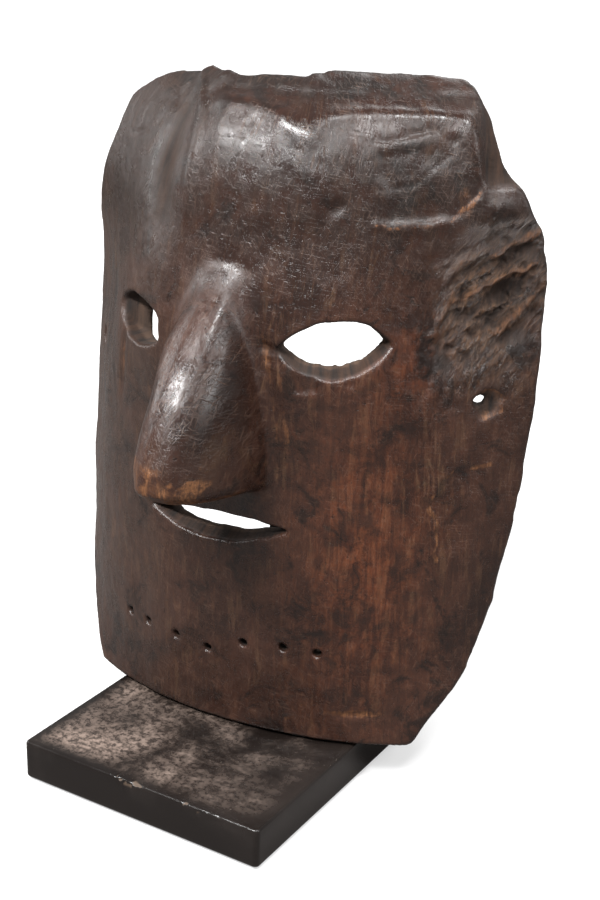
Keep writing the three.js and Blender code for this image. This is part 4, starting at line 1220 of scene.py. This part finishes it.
def post_path():
    """Centre line of the post: plumb, leaning forward, and plumb again behind the bar."""
    head = in_mask_frame((0, BAR_Y + POST_BEHIND_BAR, 0))
    share, z = [], []

    def straight(share0, z0, share1, z1, count):
        share.extend(np.linspace(share0, share1, count)[1:])
        z.extend(np.linspace(z0, z1, count)[1:])

    def bend(p0, p1, p2):
        t = np.linspace(0, 1, 14)[1:]
        for k, into in enumerate((share, z)):
            into.extend((1 - t) ** 2 * p0[k] + 2 * t * (1 - t) * p1[k] + t * t * p2[k])
    share.append(0)
    z.append(POST_FOOT)
    straight(0, POST_FOOT, 0, 100, 14)
    bend((0, 100), (0, 116), (0.13, 132))
    straight(0.13, 132, 0.87, 212, 12)
    bend((0.87, 212), (1, 228), (1, 238))
    straight(1, 238, 1, BAR_Z + TEE_HEIGHT / 2 + 1.5, 5)
    share = np.array(share)
    return np.stack([head[0] * share, POST_Y + (head[1] - POST_Y) * share, np.array(z)], axis=1)


def bar_path(start, end, steps):
    s = np.linspace(start, end, steps)
    a = np.maximum(np.abs(s) - BAR_FLAT, 0) / BAR_BEND_RADIUS
    x = np.sign(s) * (np.minimum(np.abs(s), BAR_FLAT) + BAR_BEND_RADIUS * np.sin(a))
    y = BAR_Y + BAR_BEND_RADIUS * (1 - np.cos(a))
    return in_mask_frame(np.stack([x, y, np.full_like(s, BAR_Z)], axis=1))


def bracket_rod(name, node, path, radius, round_by, **section):
    path, radius = rounded_ends(path, radius, round_by)
    finish_piece(rings_mesh(name, sweep(path, radius, **section)), "bracket", "bracket_steel", node, 40)


def make_bracket():
    half = BAR_FLAT + BAR_BEND_RADIUS * BAR_BEND
    bracket_rod("post_rod", "post", post_path(), POST_RADIUS, 0.7, sides=32, up=(1, 0, 0))
    bracket_rod("crossbar_rod", "crossbar", bar_path(-half, half, 61), BAR_RADIUS, 0.6)
    sleeve_from = BAR_FLAT + BAR_BEND_RADIUS * SLEEVE_FROM
    along = np.linspace(0, 1, 41)
    ribs = SLEEVE_RADIUS - SLEEVE_RIB + SLEEVE_RIB * np.cos(along * 2 * np.pi * SLEEVE_RIBS)
    for node, start, end in (("sleeve_left", sleeve_from, half), ("sleeve_right", -half, -sleeve_from)):
        middle = bar_path(start, end, 41)
        path, radius = rounded_ends(middle, SLEEVE_RADIUS, 0.6)
        radius[5:-5] = np.interp(np.linspace(0, 1, len(radius) - 10), along, ribs)
        inner = sweep(middle, BAR_RADIUS + GAP)[::-1]
        piece = rings_mesh(node + "_ribbed", np.concatenate([sweep(path, radius), inner]), closed_along=True)
        finish_piece(piece, "bracket", "sleeve_rubber", node, 40)


def make_tee():
    w, f, b, h, c = TEE_WIDTH / 2, TEE_FRONT, TEE_BACK, TEE_HEIGHT / 2, 1.2
    outline = [(c - w, f), (w - c, f), (w, f + c), (w, b - c),
               (w - c, b), (c - w, b), (-w, b - c), (-w, f + c)]
    piece = rings_mesh("tee_block_milled", [[(x, y, BAR_Z + z) for x, y in outline] for z in (-h, h)])
    modifier = piece.modifiers.new("edges", "BEVEL")
    modifier.width = 0.5 * MM
    modifier.segments = 3
    # Bores for the post and the bar, and a grub screw's hole with its hexagonal key seat.
    grub, key = rod(0, 0, -1.2, 3, 1.6, 24), rod(0, 0, -2.6, 3, 0.9, 6)
    carve(piece, [rod(0, BAR_Y + POST_BEHIND_BAR, BAR_Z - 20, BAR_Z + 20, BORE_RADIUS),
                  move(rod(0, 0, -20, 20, BAR_RADIUS + GAP), 0, BAR_Y, BAR_Z, LAY_ACROSS),
                  move(grub, 0, b, BAR_Z, LAY_BACK), move(key, 0, b, BAR_Z, LAY_BACK)])
    move(piece, MASK_X, turn=Matrix.Rotation(MASK_YAW, 4, "Z"))
    finish_piece(piece, "bracket", "bracket_steel", "tee_block", 35)


make_plinth()
make_felts()
make_socket()
make_screws()
make_clamp()
make_bracket()
make_tee()
make_mask()

visual_box = [list(corner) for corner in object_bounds()]
